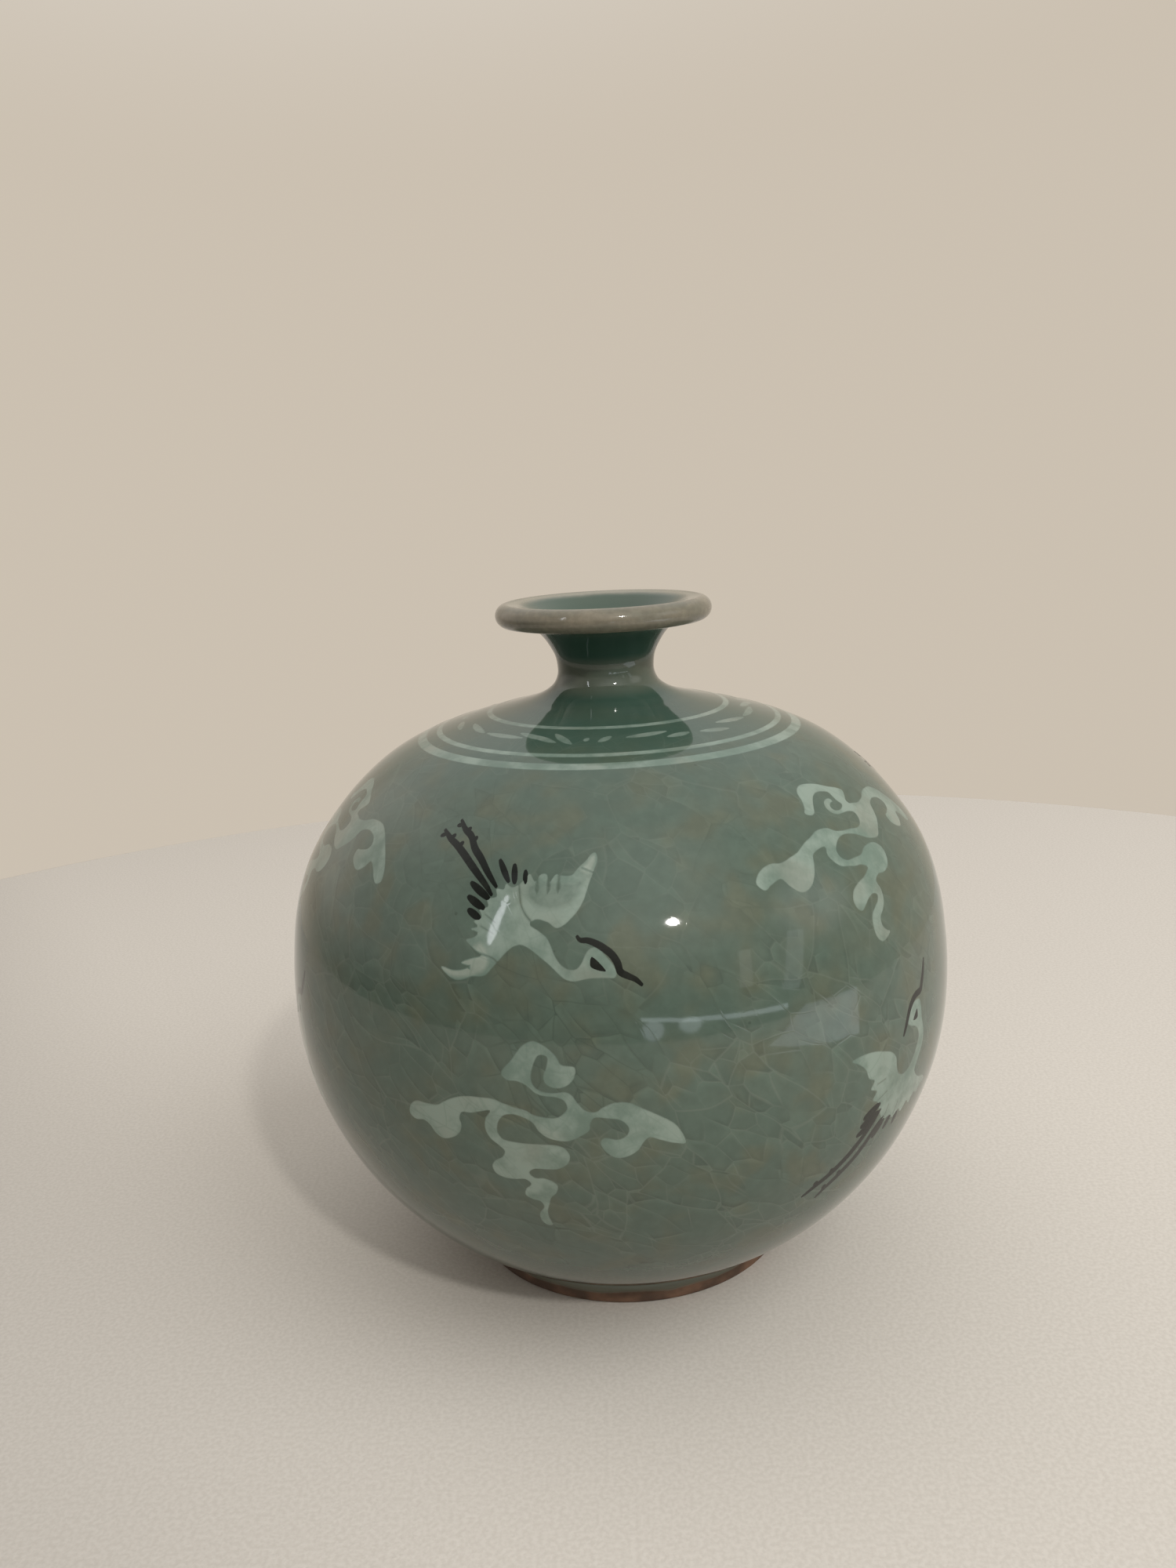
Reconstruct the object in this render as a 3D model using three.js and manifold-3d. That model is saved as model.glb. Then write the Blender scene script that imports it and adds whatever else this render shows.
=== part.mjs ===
// Celadon vase: a globe on a low foot ring, with a waisted neck, a fat rolled lip
// and cranes, clouds and rings of coloured clay let into the wall.
// Millimetres, +Z up, origin at the middle of the base. The front is -Y.
import * as THREE from 'three';
import { mergeVertices } from 'three/addons/utils/BufferGeometryUtils.js';
import { TessellateModifier } from 'three/addons/modifiers/TessellateModifier.js';
import Module from 'manifold-3d';

// Driving dimensions of the globe
const GIRTH_R = 60.0;
const GIRTH_Z = 54.3;
const WALL_T = 4.2;
const BASE_T = 5.2;
const SHOULDER_BORE_R = 10.6;
const SHOULDER_RISE = 1.2;

// Driving dimensions of the foot ring
const FOOT_H = 4.2;
const FOOT_TOP_R = 30.2;
const FOOT_OUT_R = 29.6;
const FOOT_IN_R = 24.2;
const FOOT_ROUND = 0.8;

// Driving dimensions of the neck and the lip
const NECK_Z = 103.4;
const LIP_Z = 116.9;
const LIP_BORE_R = 8.9;
const LIP_UNDER_R = 12.6;
const LIP_ROLL_R = 17.2;
const LIP_ROLL_Z = 119.25;
const LIP_ROLL_T = 2.05;
const LIP_ROLL_START = -90;
const LIP_ROLL_END = 110;
const JOINT_GAP = 0.3;

// Driving dimensions of the inlay
const INLAY_DEPTH = 1.0;
const INLAY_GAP = 0.15;
const CUT_CLEARANCE = 1.5;
const REPEATS = 3;

// Fineness of the facets
const AROUND = 36;
const AROUND_INSIDE = 24;
const INSIDE_ROWS = 12;
const LIP_STEPS = 10;
const OUTLINE_TOLERANCE = 0.7;
const SLAB_EDGE = 16;
const SLAB_SPLITS = 12;
const SEARCH_STEPS = 4000;
const WELD = 1e-4;

// Outer wall of the globe as radius and height, from the foot to the neck
const GLOBE_WALL = [
  [FOOT_TOP_R, FOOT_H], [33.1, 6.0], [36.7, 8.5], [41.0, 12.0], [45.1, 16.0], [49.2, 21.0],
  [52.9, 26.7], [55.9, 33.0], [58.3, 40.0], [59.6, 47.0], [GIRTH_R, GIRTH_Z], [59.6, 61.6],
  [58.3, 70.0], [55.7, 77.5], [51.6, 84.0], [46.4, 90.0], [40.2, 95.0], [33.4, 98.4],
  [25.4, 101.0], [16.2, NECK_Z],
];

// Outer wall of the neck, from the shoulder to the underside of the lip
const NECK_OUTER = [
  [15.5, NECK_Z + JOINT_GAP], [13.2, 104.3], [10.9, 105.4], [9.4, 106.7], [8.7, 108.3],
  [8.65, 109.8], [8.95, 111.6], [9.8, 113.4], [11.0, 115.0], [12.4, LIP_Z - JOINT_GAP],
];

// Bore of the neck, from the lip down to the shoulder
const NECK_BORE = [
  [LIP_BORE_R, LIP_Z - JOINT_GAP], [6.9, 113.6], [5.6, 110.4], [5.8, 107.6], [7.6, 105.4],
  [SHOULDER_BORE_R, NECK_Z + JOINT_GAP],
];

// Funnel of the mouth, from the broad rim of the lip down to the bore
const LIP_FUNNEL = [
  [15.3, 121.0], [14.2, 120.6], [13.2, 120.0], [11.8, 119.05], [10.4, 118.05],
  [LIP_BORE_R, LIP_Z],
];

// Shoulder rings: radius on the wall and width of the band
const RINGS = [
  { name: 'inner_ring_inlay', radius: 21.3, width: 1.1 },
  { name: 'middle_ring_inlay', radius: 30.5, width: 1.1 },
  { name: 'outer_ring_inlay', radius: 33.6, width: 1.8 },
];

// Motif outlines on the unrolled wall: x is the arc at the widest girth, to the right of
// the front, and y is the way up the wall from there. The other copies are turned by a
// third of the girth.
const UPPER_CRANE = [
  [-3.5, 37.4], [-3.1, 36.2], [-3.7, 34.6], [-4.6, 32.4], [-5.5, 29.8], [-6.9, 27.7],
  [-9.6, 25.7], [-11.4, 26.6], [-13.3, 26.9], [-14.2, 26.2], [-12.8, 25.3], [-11.4, 24.4],
  [-10.6, 23.2], [-9.9, 21.7], [-8.9, 20.4], [-7.8, 19.8], [-6.6, 19.8], [-5.8, 20.6],
  [-5.2, 21.8], [-4.6, 22.6], [-3.8, 22.9], [-2.8, 22.4], [-1.8, 21.4], [-1.0, 20.4],
  [-0.5, 19.4], [-0.7, 18.5], [-2.4, 18.5], [-4.8, 18.4], [-7.0, 18.0], [-8.2, 18.3],
  [-9.2, 19.0], [-10.2, 19.9], [-11.6, 21.0], [-14.2, 22.7], [-15.4, 23.1], [-16.6, 22.8],
  [-17.6, 22.0], [-19.6, 19.8], [-20.9, 18.4], [-21.8, 18.1], [-23.1, 18.0], [-24.4, 17.5],
  [-25.8, 17.2], [-27.2, 17.6], [-28.8, 18.9], [-26.5, 18.8], [-25.3, 19.2], [-24.8, 19.9],
  [-23.1, 21.3], [-24.7, 23.3], [-23.4, 23.9], [-22.8, 25.0], [-23.2, 26.2], [-22.8, 27.6],
  [-22.3, 28.8], [-20.8, 30.2], [-20.9, 31.2], [-19.4, 31.9], [-16.0, 32.0], [-15.3, 33.9],
  [-14.2, 32.8], [-13.2, 33.9], [-12.2, 33.9], [-11.5, 32.8], [-10.5, 33.9], [-9.2, 33.7],
  [-7.7, 33.8], [-6.6, 34.9], [-5.2, 36.1], [-4.3, 37.1],
];
const LOWER_CRANE = [
  [37.2, -0.6], [40.0, -0.3], [42.5, -0.6], [44.8, -1.3], [47.0, -2.2], [48.4, -3.6],
  [48.8, -5.3], [49.6, -6.9], [51.2, -7.6], [53.0, -7.1], [54.2, -5.9], [55.2, -4.4],
  [55.9, -2.8], [55.5, -1.4], [54.3, -0.4], [52.8, 0.2], [51.9, 0.9], [52.3, 2.2],
  [53.4, 3.4], [54.8, 3.9], [56.2, 3.6], [56.8, 2.0], [57.0, 0.2], [57.7, -1.7],
  [57.9, -3.5], [57.4, -5.3], [56.3, -7.0], [55.6, -8.6], [56.6, -10.0], [58.6, -11.2],
  [60.8, -12.0], [62.4, -13.6], [60.4, -13.5], [59.2, -14.6], [57.6, -13.9], [56.3, -15.4],
  [54.9, -14.4], [53.4, -15.8], [52.0, -14.7], [50.4, -15.6], [49.0, -14.6], [47.2, -14.7],
  [46.0, -13.4], [45.0, -11.6], [44.3, -10.2], [42.8, -9.2], [43.6, -7.9], [42.0, -7.0],
  [42.7, -5.7], [41.3, -4.8], [40.4, -3.0], [38.8, -1.6],
];
const LOWER_CLOUD = [
  [-7.9, 1.2], [-7.0, -0.1], [-5.9, -1.3], [-4.4, -1.5], [-3.4, -0.8], [-1.7, -0.1],
  [0.3, -0.1], [2.3, -1.1], [5.0, -2.6], [7.0, -4.0], [8.1, -5.6], [8.6, -7.5],
  [7.0, -7.3], [5.0, -6.6], [3.3, -6.0], [2.5, -6.6], [1.6, -8.0], [0.0, -9.1],
  [-1.7, -9.3], [-3.2, -8.3], [-4.0, -6.6], [-3.4, -5.8], [-1.4, -6.1], [-0.1, -5.5],
  [0.3, -4.3], [-0.7, -3.0], [-2.7, -2.6], [-4.7, -2.5], [-5.3, -3.3], [-5.5, -4.5],
  [-7.0, -5.6], [-8.7, -6.4], [-10.4, -6.4], [-12.0, -5.9], [-13.2, -4.9], [-13.9, -3.7],
  [-15.0, -3.0], [-16.7, -2.5], [-18.4, -2.8], [-19.4, -4.0], [-19.7, -5.6], [-19.0, -6.8],
  [-16.7, -7.2], [-12.4, -7.2], [-10.7, -7.2], [-9.4, -7.7], [-8.7, -9.0], [-9.2, -10.5],
  [-10.7, -11.5], [-12.7, -11.7], [-14.5, -11.8], [-15.4, -12.6], [-14.6, -13.5],
  [-13.0, -13.5], [-11.2, -14.6], [-11.5, -16.3], [-12.5, -17.5], [-13.0, -19.0],
  [-13.5, -20.5], [-13.5, -22.3], [-13.2, -24.0], [-14.2, -24.1], [-15.0, -23.0],
  [-15.0, -21.3], [-14.0, -19.6], [-14.4, -18.5], [-15.7, -18.1], [-16.7, -17.3],
  [-16.4, -16.0], [-15.4, -14.8], [-16.2, -14.0], [-18.0, -14.2], [-19.7, -14.1],
  [-21.0, -13.5], [-21.4, -12.1], [-20.7, -11.0], [-19.4, -10.1], [-18.9, -9.0],
  [-19.7, -8.1], [-21.0, -7.0], [-21.7, -5.3], [-21.4, -3.6], [-20.6, -2.3], [-22.0, -2.6],
  [-23.7, -3.1], [-25.4, -3.3], [-25.9, -4.3], [-25.7, -5.6], [-26.4, -7.1], [-27.7, -8.1],
  [-29.4, -8.6], [-30.7, -8.0], [-31.7, -6.6], [-32.7, -6.1], [-34.4, -6.3], [-35.4, -5.5],
  [-35.0, -4.0], [-33.7, -3.0], [-31.7, -3.0], [-29.7, -2.8], [-28.4, -2.0], [-26.7, -1.1],
  [-24.7, -0.5], [-22.0, -0.3], [-20.0, -0.3], [-18.0, -0.9], [-16.7, -1.3], [-15.0, -1.6],
  [-13.7, -2.3], [-12.0, -2.6], [-10.4, -2.6], [-9.4, -2.0], [-8.6, -1.0], [-9.0, 0.2],
  [-10.2, 0.7], [-11.6, 0.8], [-13.0, 1.1], [-14.7, 2.4], [-16.0, 2.9], [-17.7, 3.0],
  [-18.4, 4.0], [-16.7, 6.2], [-15.0, 8.4], [-13.4, 9.2], [-11.4, 8.4], [-9.9, 7.0],
  [-9.2, 5.8], [-7.2, 5.4], [-7.4, 3.7], [-8.8, 2.4], [-10.6, 2.2], [-11.8, 3.0],
  [-11.9, 4.0], [-11.4, 5.4], [-11.3, 6.9], [-12.5, 7.1], [-13.3, 5.8], [-13.8, 3.6],
  [-13.3, 2.2], [-12.0, 1.5], [-10.3, 1.4], [-8.8, 1.6],
];
const UPPER_CLOUD = [
  [24.5, 29.8], [25.2, 31.1], [26.8, 32.1], [28.8, 32.5], [30.6, 32.3], [33.0, 32.8],
  [35.0, 33.3], [37.7, 34.5], [40.0, 35.2], [41.7, 35.8], [43.5, 35.9], [45.2, 35.7],
  [46.8, 34.9], [48.6, 34.5], [51.1, 34.3], [53.6, 34.0], [55.1, 34.3], [56.1, 35.2],
  [56.2, 36.3], [54.9, 36.9], [52.3, 37.1], [50.6, 37.2], [49.3, 37.8], [48.7, 38.9],
  [49.2, 39.8], [50.4, 40.3], [51.8, 40.2], [52.2, 39.6], [51.0, 39.4], [50.2, 38.8],
  [50.6, 38.1], [51.8, 37.8], [53.4, 38.0], [54.2, 38.5], [53.6, 39.4], [53.4, 40.3],
  [53.2, 41.2], [51.5, 41.8], [49.5, 42.0], [47.9, 41.6], [46.6, 40.8], [45.5, 39.7],
  [44.5, 38.7], [43.2, 38.5], [42.0, 39.1], [42.9, 40.1], [43.6, 41.3], [43.9, 42.7],
  [44.9, 43.7], [46.8, 44.2], [49.3, 44.0], [51.8, 43.4], [54.6, 42.3], [57.2, 41.4],
  [58.4, 40.6], [57.7, 39.7], [56.6, 38.8], [56.8, 38.2], [58.2, 37.9], [60.0, 37.6],
  [62.9, 37.9], [65.7, 38.7], [68.4, 38.8], [70.7, 38.5], [73.0, 37.4], [75.5, 35.4],
  [77.6, 33.3], [78.8, 31.6], [79.3, 29.5], [78.1, 29.0], [76.8, 29.8], [75.5, 31.1],
  [73.8, 32.1], [72.5, 30.8], [70.7, 30.0], [68.7, 30.6], [67.2, 31.8], [67.2, 33.1],
  [68.4, 33.3], [70.5, 33.8], [71.2, 34.6], [70.5, 35.8], [68.4, 36.6], [66.4, 36.7],
  [64.4, 36.1], [63.5, 34.9], [62.4, 33.6], [60.6, 32.4], [58.4, 31.2], [55.9, 31.4],
  [53.9, 32.1], [51.8, 33.1], [50.0, 33.6], [48.3, 33.8], [46.5, 33.5], [45.2, 32.8],
  [44.2, 31.8], [44.3, 30.7], [45.4, 29.9], [47.5, 29.8], [50.0, 29.9], [51.6, 30.6],
  [53.6, 30.9], [55.9, 30.6], [57.3, 29.3], [57.0, 27.6], [55.6, 26.3], [53.6, 25.8],
  [51.8, 25.9], [50.3, 25.1], [50.6, 23.6], [50.3, 22.0], [49.2, 20.6], [48.0, 19.7],
  [47.9, 18.4], [48.8, 17.4], [49.6, 17.0], [48.5, 16.3], [47.0, 16.0], [45.9, 16.9],
  [45.5, 18.7], [46.0, 20.5], [47.3, 21.5], [48.5, 22.2], [49.0, 23.1], [48.0, 23.5],
  [46.5, 23.1], [45.3, 22.4], [44.0, 21.7], [43.0, 22.2], [42.6, 23.5], [43.5, 25.0],
  [45.3, 25.9], [47.3, 26.4], [48.8, 27.0], [49.8, 27.6], [48.6, 28.3], [46.8, 28.5],
  [45.0, 28.9], [43.5, 29.2], [42.2, 30.2], [41.5, 31.6], [41.9, 32.9], [39.7, 32.8],
  [38.2, 32.2], [37.5, 30.8], [36.6, 29.3], [35.1, 27.8], [33.3, 27.1], [32.1, 27.3],
  [30.6, 28.5], [29.5, 29.8], [27.4, 29.3], [25.7, 28.6],
];

// Dark clay of the cranes: strokes as a centre line with a width, and an eye
const UPPER_CRANE_MARKS = {
  crest: {
    width: 0.9,
    line: [[-6.5, 24.3], [-5.0, 23.7], [-2.6, 22.9], [-0.9, 21.2], [0.0, 19.1], [3.0, 17.3]],
  },
  leg_left: {
    width: 1.0,
    line: [[-36.6, 39.8], [-34.0, 38.5], [-29.6, 36.6], [-25.5, 33.5], [-22.9, 31.5]],
  },
  leg_right: {
    width: 1.0,
    line: [[-33.4, 42.0], [-31.2, 40.3], [-27.4, 37.6], [-24.0, 34.7], [-21.9, 32.5]],
  },
  eye: { outline: [[-3.9, 21.3], [-4.5, 20.1], [-2.1, 19.6]] },
};
const LOWER_CRANE_MARKS = {
  crest: {
    width: 0.9,
    line: [[50.4, -0.4], [51.4, 1.8], [52.9, 3.9], [55.6, 4.6], [56.8, 5.9], [58.3, 7.8]],
  },
  leg_left: {
    width: 1.0,
    line: [[31.2, -24.5], [34.6, -22.4], [39.2, -19.1], [42.6, -15.6]],
  },
  leg_right: {
    width: 1.0,
    line: [[34.8, -26.4], [38.0, -23.4], [41.6, -20.2], [44.4, -16.8]],
  },
  eye: { outline: [[55.0, 2.5], [53.7, 1.0], [55.3, 0.8]] },
};

const FAMILIES = [
  { name: 'upper_crane', white: UPPER_CRANE, marks: UPPER_CRANE_MARKS },
  { name: 'lower_crane', white: LOWER_CRANE, marks: LOWER_CRANE_MARKS },
  { name: 'upper_cloud', white: UPPER_CLOUD, marks: {} },
  { name: 'lower_cloud', white: LOWER_CLOUD, marks: {} },
];

// Colours of the fired clays under their glaze
const FINISH = {
  celadon: { color: 0x66715f, roughness: 0.12, metalness: 0 },
  lip: { color: 0x7c7465, roughness: 0.16, metalness: 0 },
  foot: { color: 0x5a4a38, roughness: 0.7, metalness: 0 },
  white: { color: 0x9aa494, roughness: 0.12, metalness: 0 },
  black: { color: 0x24261f, roughness: 0.14, metalness: 0 },
};

const wasm = await Module();
wasm.setup();
const vase = new THREE.Group();

// Solid from a closed mesh
function toSolid(geometry) {
  const bare = geometry.index ? geometry.toNonIndexed() : geometry.clone();
  for (const key of Object.keys(bare.attributes)) {
    if (key !== 'position') bare.deleteAttribute(key);
  }
  const merged = mergeVertices(bare, WELD);
  const vertProperties = new Float32Array(merged.attributes.position.array);
  const triVerts = new Uint32Array(merged.index.array);
  return new wasm.Manifold(new wasm.Mesh({ numProp: 3, vertProperties, triVerts }));
}

// Mesh of a solid, for a named part
function toGeometry(solid) {
  const mesh = solid.getMesh();
  const geometry = new THREE.BufferGeometry();
  geometry.setAttribute('position', new THREE.BufferAttribute(mesh.vertProperties, 3));
  geometry.setIndex(new THREE.BufferAttribute(mesh.triVerts, 1));
  geometry.computeVertexNormals();
  return geometry;
}

// Adds a solid to the vase as a part with a name and a finish
function addPart(name, solid, finish) {
  const mesh = new THREE.Mesh(toGeometry(solid), new THREE.MeshStandardMaterial(FINISH[finish]));
  mesh.name = name;
  vase.add(mesh);
}

// Solid of revolution from a closed outline of [radius, height] points
function turned(outline, segments) {
  const closed = [...outline, outline[0]].map(([r, z]) => new THREE.Vector2(r, z));
  const geometry = new THREE.LatheGeometry(closed, segments);
  geometry.rotateX(Math.PI / 2);
  geometry.rotateZ(-Math.PI / 2);
  const solid = toSolid(geometry);
  if (solid.volume() > 0) return solid;
  geometry.index.array.reverse();
  return toSolid(geometry);
}

// The wall as a curve with a known length
const wall = new THREE.SplineCurve(GLOBE_WALL.map(([r, z]) => new THREE.Vector2(r, z)));
wall.arcLengthDivisions = SEARCH_STEPS;
const wallLength = wall.getLength();
const girthWay = wayUpTo((point) => point.y >= GIRTH_Z);

// Way up the wall from the foot to the first point that is the one looked for
function wayUpTo(isFound) {
  for (let i = 0; i <= SEARCH_STEPS; i += 1) {
    if (isFound(wall.getPointAt(i / SEARCH_STEPS))) return (i / SEARCH_STEPS) * wallLength;
  }
  return wallLength;
}

// Point on the wall, or off it along its normal, from the unrolled x and y
function onWall(x, y, off) {
  const t = THREE.MathUtils.clamp((y + girthWay) / wallLength, 0, 1);
  const point = wall.getPointAt(t);
  const along = wall.getTangentAt(t);
  const r = point.x + along.y * off;
  const z = point.y - along.x * off;
  const angle = x / GIRTH_R;
  return [r * Math.sin(angle), -r * Math.cos(angle), z];
}

// Keeps only the points that a line needs within a tolerance
function thinned(points, tolerance) {
  if (points.length < 3) return points;
  const first = new THREE.Vector2(...points[0]);
  const last = new THREE.Vector2(...points[points.length - 1]);
  const across = last.clone().sub(first);
  let farthest = 0;
  let index = 0;
  for (let i = 1; i < points.length - 1; i += 1) {
    const offset = new THREE.Vector2(...points[i]).sub(first);
    const distance = Math.abs(across.cross(offset)) / across.length();
    if (distance > farthest) {
      farthest = distance;
      index = i;
    }
  }
  if (farthest <= tolerance) return [points[0], points[points.length - 1]];
  const before = thinned(points.slice(0, index + 1), tolerance);
  const after = thinned(points.slice(index), tolerance);
  return [...before.slice(0, -1), ...after];
}

// Closed outline with only the points that it needs
function simplified(outline) {
  const half = Math.floor(outline.length / 2);
  const first = thinned(outline.slice(0, half + 1), OUTLINE_TOLERANCE);
  const second = thinned([...outline.slice(half), outline[0]], OUTLINE_TOLERANCE);
  return [...first.slice(0, -1), ...second.slice(0, -1)];
}

// Outline moved outwards by a small amount along its corner normals
function grown(outline, amount) {
  const corners = outline.map(([x, y]) => new THREE.Vector2(x, y));
  const turn = THREE.ShapeUtils.isClockWise(corners) ? -1 : 1;
  return corners.map((corner, i) => {
    const before = corner.clone().sub(corners[(i + corners.length - 1) % corners.length]).normalize();
    const after = corners[(i + 1) % corners.length].clone().sub(corner).normalize();
    const along = before.add(after).normalize();
    return [corner.x + along.y * amount * turn, corner.y - along.x * amount * turn];
  });
}

// Outline of a stroke with pointed ends, from its centre line
function strokeOutline({ line, width }) {
  const curve = new THREE.SplineCurve(line.map(([x, y]) => new THREE.Vector2(x, y)));
  const left = [];
  const right = [];
  for (let i = 1; i < line.length; i += 1) {
    const point = curve.getPointAt(i / line.length);
    const along = curve.getTangentAt(i / line.length);
    left.push([point.x - (along.y * width) / 2, point.y + (along.x * width) / 2]);
    right.push([point.x + (along.y * width) / 2, point.y - (along.x * width) / 2]);
  }
  return [line[0], ...left, line[line.length - 1], ...right.reverse()];
}

// Slab that follows the wall, from a depth below it to a clearance above it
function slab(outline, depth) {
  const shape = new THREE.Shape(outline.map(([x, y]) => new THREE.Vector2(x, y)));
  const flat = new THREE.ExtrudeGeometry(shape, { depth: 1, bevelEnabled: false });
  const fine = new TessellateModifier(SLAB_EDGE, SLAB_SPLITS).modify(flat);
  const position = fine.attributes.position;
  for (let i = 0; i < position.count; i += 1) {
    const off = THREE.MathUtils.lerp(-depth, CUT_CLEARANCE, position.getZ(i));
    position.setXYZ(i, ...onWall(position.getX(i), position.getY(i), off));
  }
  return toSolid(fine);
}

// Point on the wall as radius and height, from the way up it and the distance off it
function inSection(y, off) {
  const [, front, z] = onWall(0, y, off);
  return [-front, z];
}

// Lower and upper edge of a shoulder ring on the unrolled wall, widened by a gap
function ringEdges({ radius, width }, gap) {
  const middle = wayUpTo((point) => point.y > GIRTH_Z && point.x <= radius) - girthWay;
  return [middle - width / 2 - gap, middle + width / 2 + gap];
}

// Inlay that fills the groove of a shoulder ring
function ringInlay(ring) {
  const [low, high] = ringEdges(ring, 0);
  const corners = [[low, -INLAY_DEPTH], [high, -INLAY_DEPTH], [high, 0], [low, 0]];
  return turned(corners.map(([y, off]) => inSection(y, off)), AROUND);
}

// Outer wall as an outline with a groove for each shoulder ring
function groovedWall() {
  const depth = INLAY_DEPTH + INLAY_GAP;
  let rows = GLOBE_WALL.map(([, z]) => [wayUpTo((point) => point.y >= z) - girthWay, 0]);
  for (const ring of RINGS) {
    const [low, high] = ringEdges(ring, INLAY_GAP);
    rows = rows.filter(([y]) => y < low || y > high);
    rows.push([low, 0], [low, -depth], [high, -depth], [high, 0]);
  }
  return rows.sort(([a], [b]) => a - b).map(([y, off]) => inSection(y, off));
}

// Globe without its motifs: a turned wall round a cavity that opens at the shoulder
function plainGlobe() {
  const shell = turned([[0, FOOT_H], ...groovedWall(), [0, NECK_Z]], AROUND);
  const floor = FOOT_H + BASE_T;
  const mouth = NECK_Z + CUT_CLEARANCE;
  const inside = wall.getSpacedPoints(INSIDE_ROWS).map((point, i) => {
    const along = wall.getTangentAt(i / INSIDE_ROWS);
    return [point.x - along.y * WALL_T, point.y + along.x * WALL_T];
  });
  const cavity = inside.filter(([r, z]) => r > SHOULDER_BORE_R && z > floor);
  const top = cavity[cavity.length - 1][1] + SHOULDER_RISE;
  const bore = [[SHOULDER_BORE_R, top], [SHOULDER_BORE_R, mouth]];
  return shell.subtract(turned([[0, floor], ...cavity, ...bore, [0, mouth]], AROUND_INSIDE));
}

// Foot ring with rounded edges, flat where it stands
function footRing() {
  const top = FOOT_H - JOINT_GAP;
  const cornerCut = FOOT_ROUND * (1 - Math.SQRT1_2);
  const outline = [
    [FOOT_IN_R + FOOT_ROUND, 0],
    [FOOT_OUT_R - FOOT_ROUND, 0],
    [FOOT_OUT_R - cornerCut, cornerCut],
    [FOOT_OUT_R, FOOT_ROUND],
    [FOOT_TOP_R, top],
    [FOOT_IN_R - FOOT_ROUND, top],
    [FOOT_IN_R, FOOT_ROUND],
  ];
  return turned(outline, AROUND);
}

// Waisted neck, a tube that flares at both ends
function neck() {
  return turned([...NECK_OUTER, ...NECK_BORE], AROUND_INSIDE);
}

// Fat rolled lip that opens as a funnel into the neck
function lip() {
  const roll = [];
  for (let i = 0; i <= LIP_STEPS; i += 1) {
    const angle = THREE.MathUtils.degToRad(
      THREE.MathUtils.lerp(LIP_ROLL_START, LIP_ROLL_END, i / LIP_STEPS),
    );
    const r = LIP_ROLL_R + LIP_ROLL_T * Math.cos(angle);
    roll.push([r, LIP_ROLL_Z + LIP_ROLL_T * Math.sin(angle)]);
  }
  return turned([...roll, ...LIP_FUNNEL, [LIP_UNDER_R, LIP_Z]], AROUND);
}

// Inlays of one motif: the pale clay, and the dark clay in what is cut out of it
function addMotif(family, copy, globe, pockets) {
  const shift = (copy * 2 * Math.PI * GIRTH_R) / REPEATS;
  const moved = (outline) => outline.map(([x, y]) => [x + shift, y]);
  const name = `${family.name}_${copy + 1}`;
  const outline = simplified(family.white);
  let white = slab(moved(outline), INLAY_DEPTH);
  pockets.push(slab(moved(grown(outline, INLAY_GAP)), INLAY_DEPTH + INLAY_GAP));
  for (const [key, mark] of Object.entries(family.marks)) {
    const dark = mark.outline ?? strokeOutline(mark);
    const hole = slab(moved(grown(dark, INLAY_GAP)), INLAY_DEPTH + INLAY_GAP);
    white = white.subtract(hole);
    pockets.push(hole);
    addPart(`${name}_${key}`, slab(moved(dark), INLAY_DEPTH).intersect(globe), 'black');
  }
  addPart(name, white.intersect(globe), 'white');
}

// The parts, with the pockets for the motifs cut out of the globe last
function build() {
  const globe = plainGlobe();
  const pockets = [];
  for (const ring of RINGS) addPart(ring.name, ringInlay(ring), 'white');
  for (const family of FAMILIES) {
    for (let copy = 0; copy < REPEATS; copy += 1) addMotif(family, copy, globe, pockets);
  }
  const carved = pockets.reduce((body, pocket) => body.subtract(pocket), globe);
  addPart('globe_body', carved, 'celadon');
  addPart('foot_ring', footRing(), 'foot');
  addPart('neck', neck(), 'celadon');
  addPart('rolled_lip', lip(), 'lip');
}

build();

export default vase;
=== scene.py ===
# Celadon vase with inlaid cranes, clouds and rings: the finish of every surface.
# Outlines are in millimetres, and meshes in metres; +Z is up and the front is -Y.
import math

import bpy
import numpy as np
from mathutils import Matrix
from mathutils.geometry import delaunay_2d_cdt


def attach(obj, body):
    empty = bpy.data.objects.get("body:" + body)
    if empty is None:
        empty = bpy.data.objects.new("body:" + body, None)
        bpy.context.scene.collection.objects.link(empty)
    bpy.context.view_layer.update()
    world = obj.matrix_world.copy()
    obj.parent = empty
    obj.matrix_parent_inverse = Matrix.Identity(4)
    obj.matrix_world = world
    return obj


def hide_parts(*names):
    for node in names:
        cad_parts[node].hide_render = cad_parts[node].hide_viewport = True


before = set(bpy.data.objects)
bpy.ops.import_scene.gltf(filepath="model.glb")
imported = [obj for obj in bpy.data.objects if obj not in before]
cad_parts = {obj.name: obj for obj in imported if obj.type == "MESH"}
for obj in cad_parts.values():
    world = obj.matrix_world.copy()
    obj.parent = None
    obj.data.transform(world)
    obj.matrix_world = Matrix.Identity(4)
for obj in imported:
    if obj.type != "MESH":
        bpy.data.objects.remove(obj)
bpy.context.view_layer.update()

MM = 0.001
BODY = "root"

# Driving dimensions of the body, as in its solids, and heights of the joints between them
GIRTH_R = 60.0
WALL_T = 4.2
JOINT_Z = 4.2
RECESS_Z = 4.1
NECK_Z = 103.4
NECK_TOP_Z = 116.75
MOUTH_JOINT_Z = 116.7
LIP_ROLL_R = 17.2
LIP_ROLL_Z = 119.25
LIP_ROLL_T = 2.05
FLOOR_Z = 9.4
SHOULDER_BORE_R = 10.6
FOOT_IN_R = 24.2
REPEATS = 3

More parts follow.
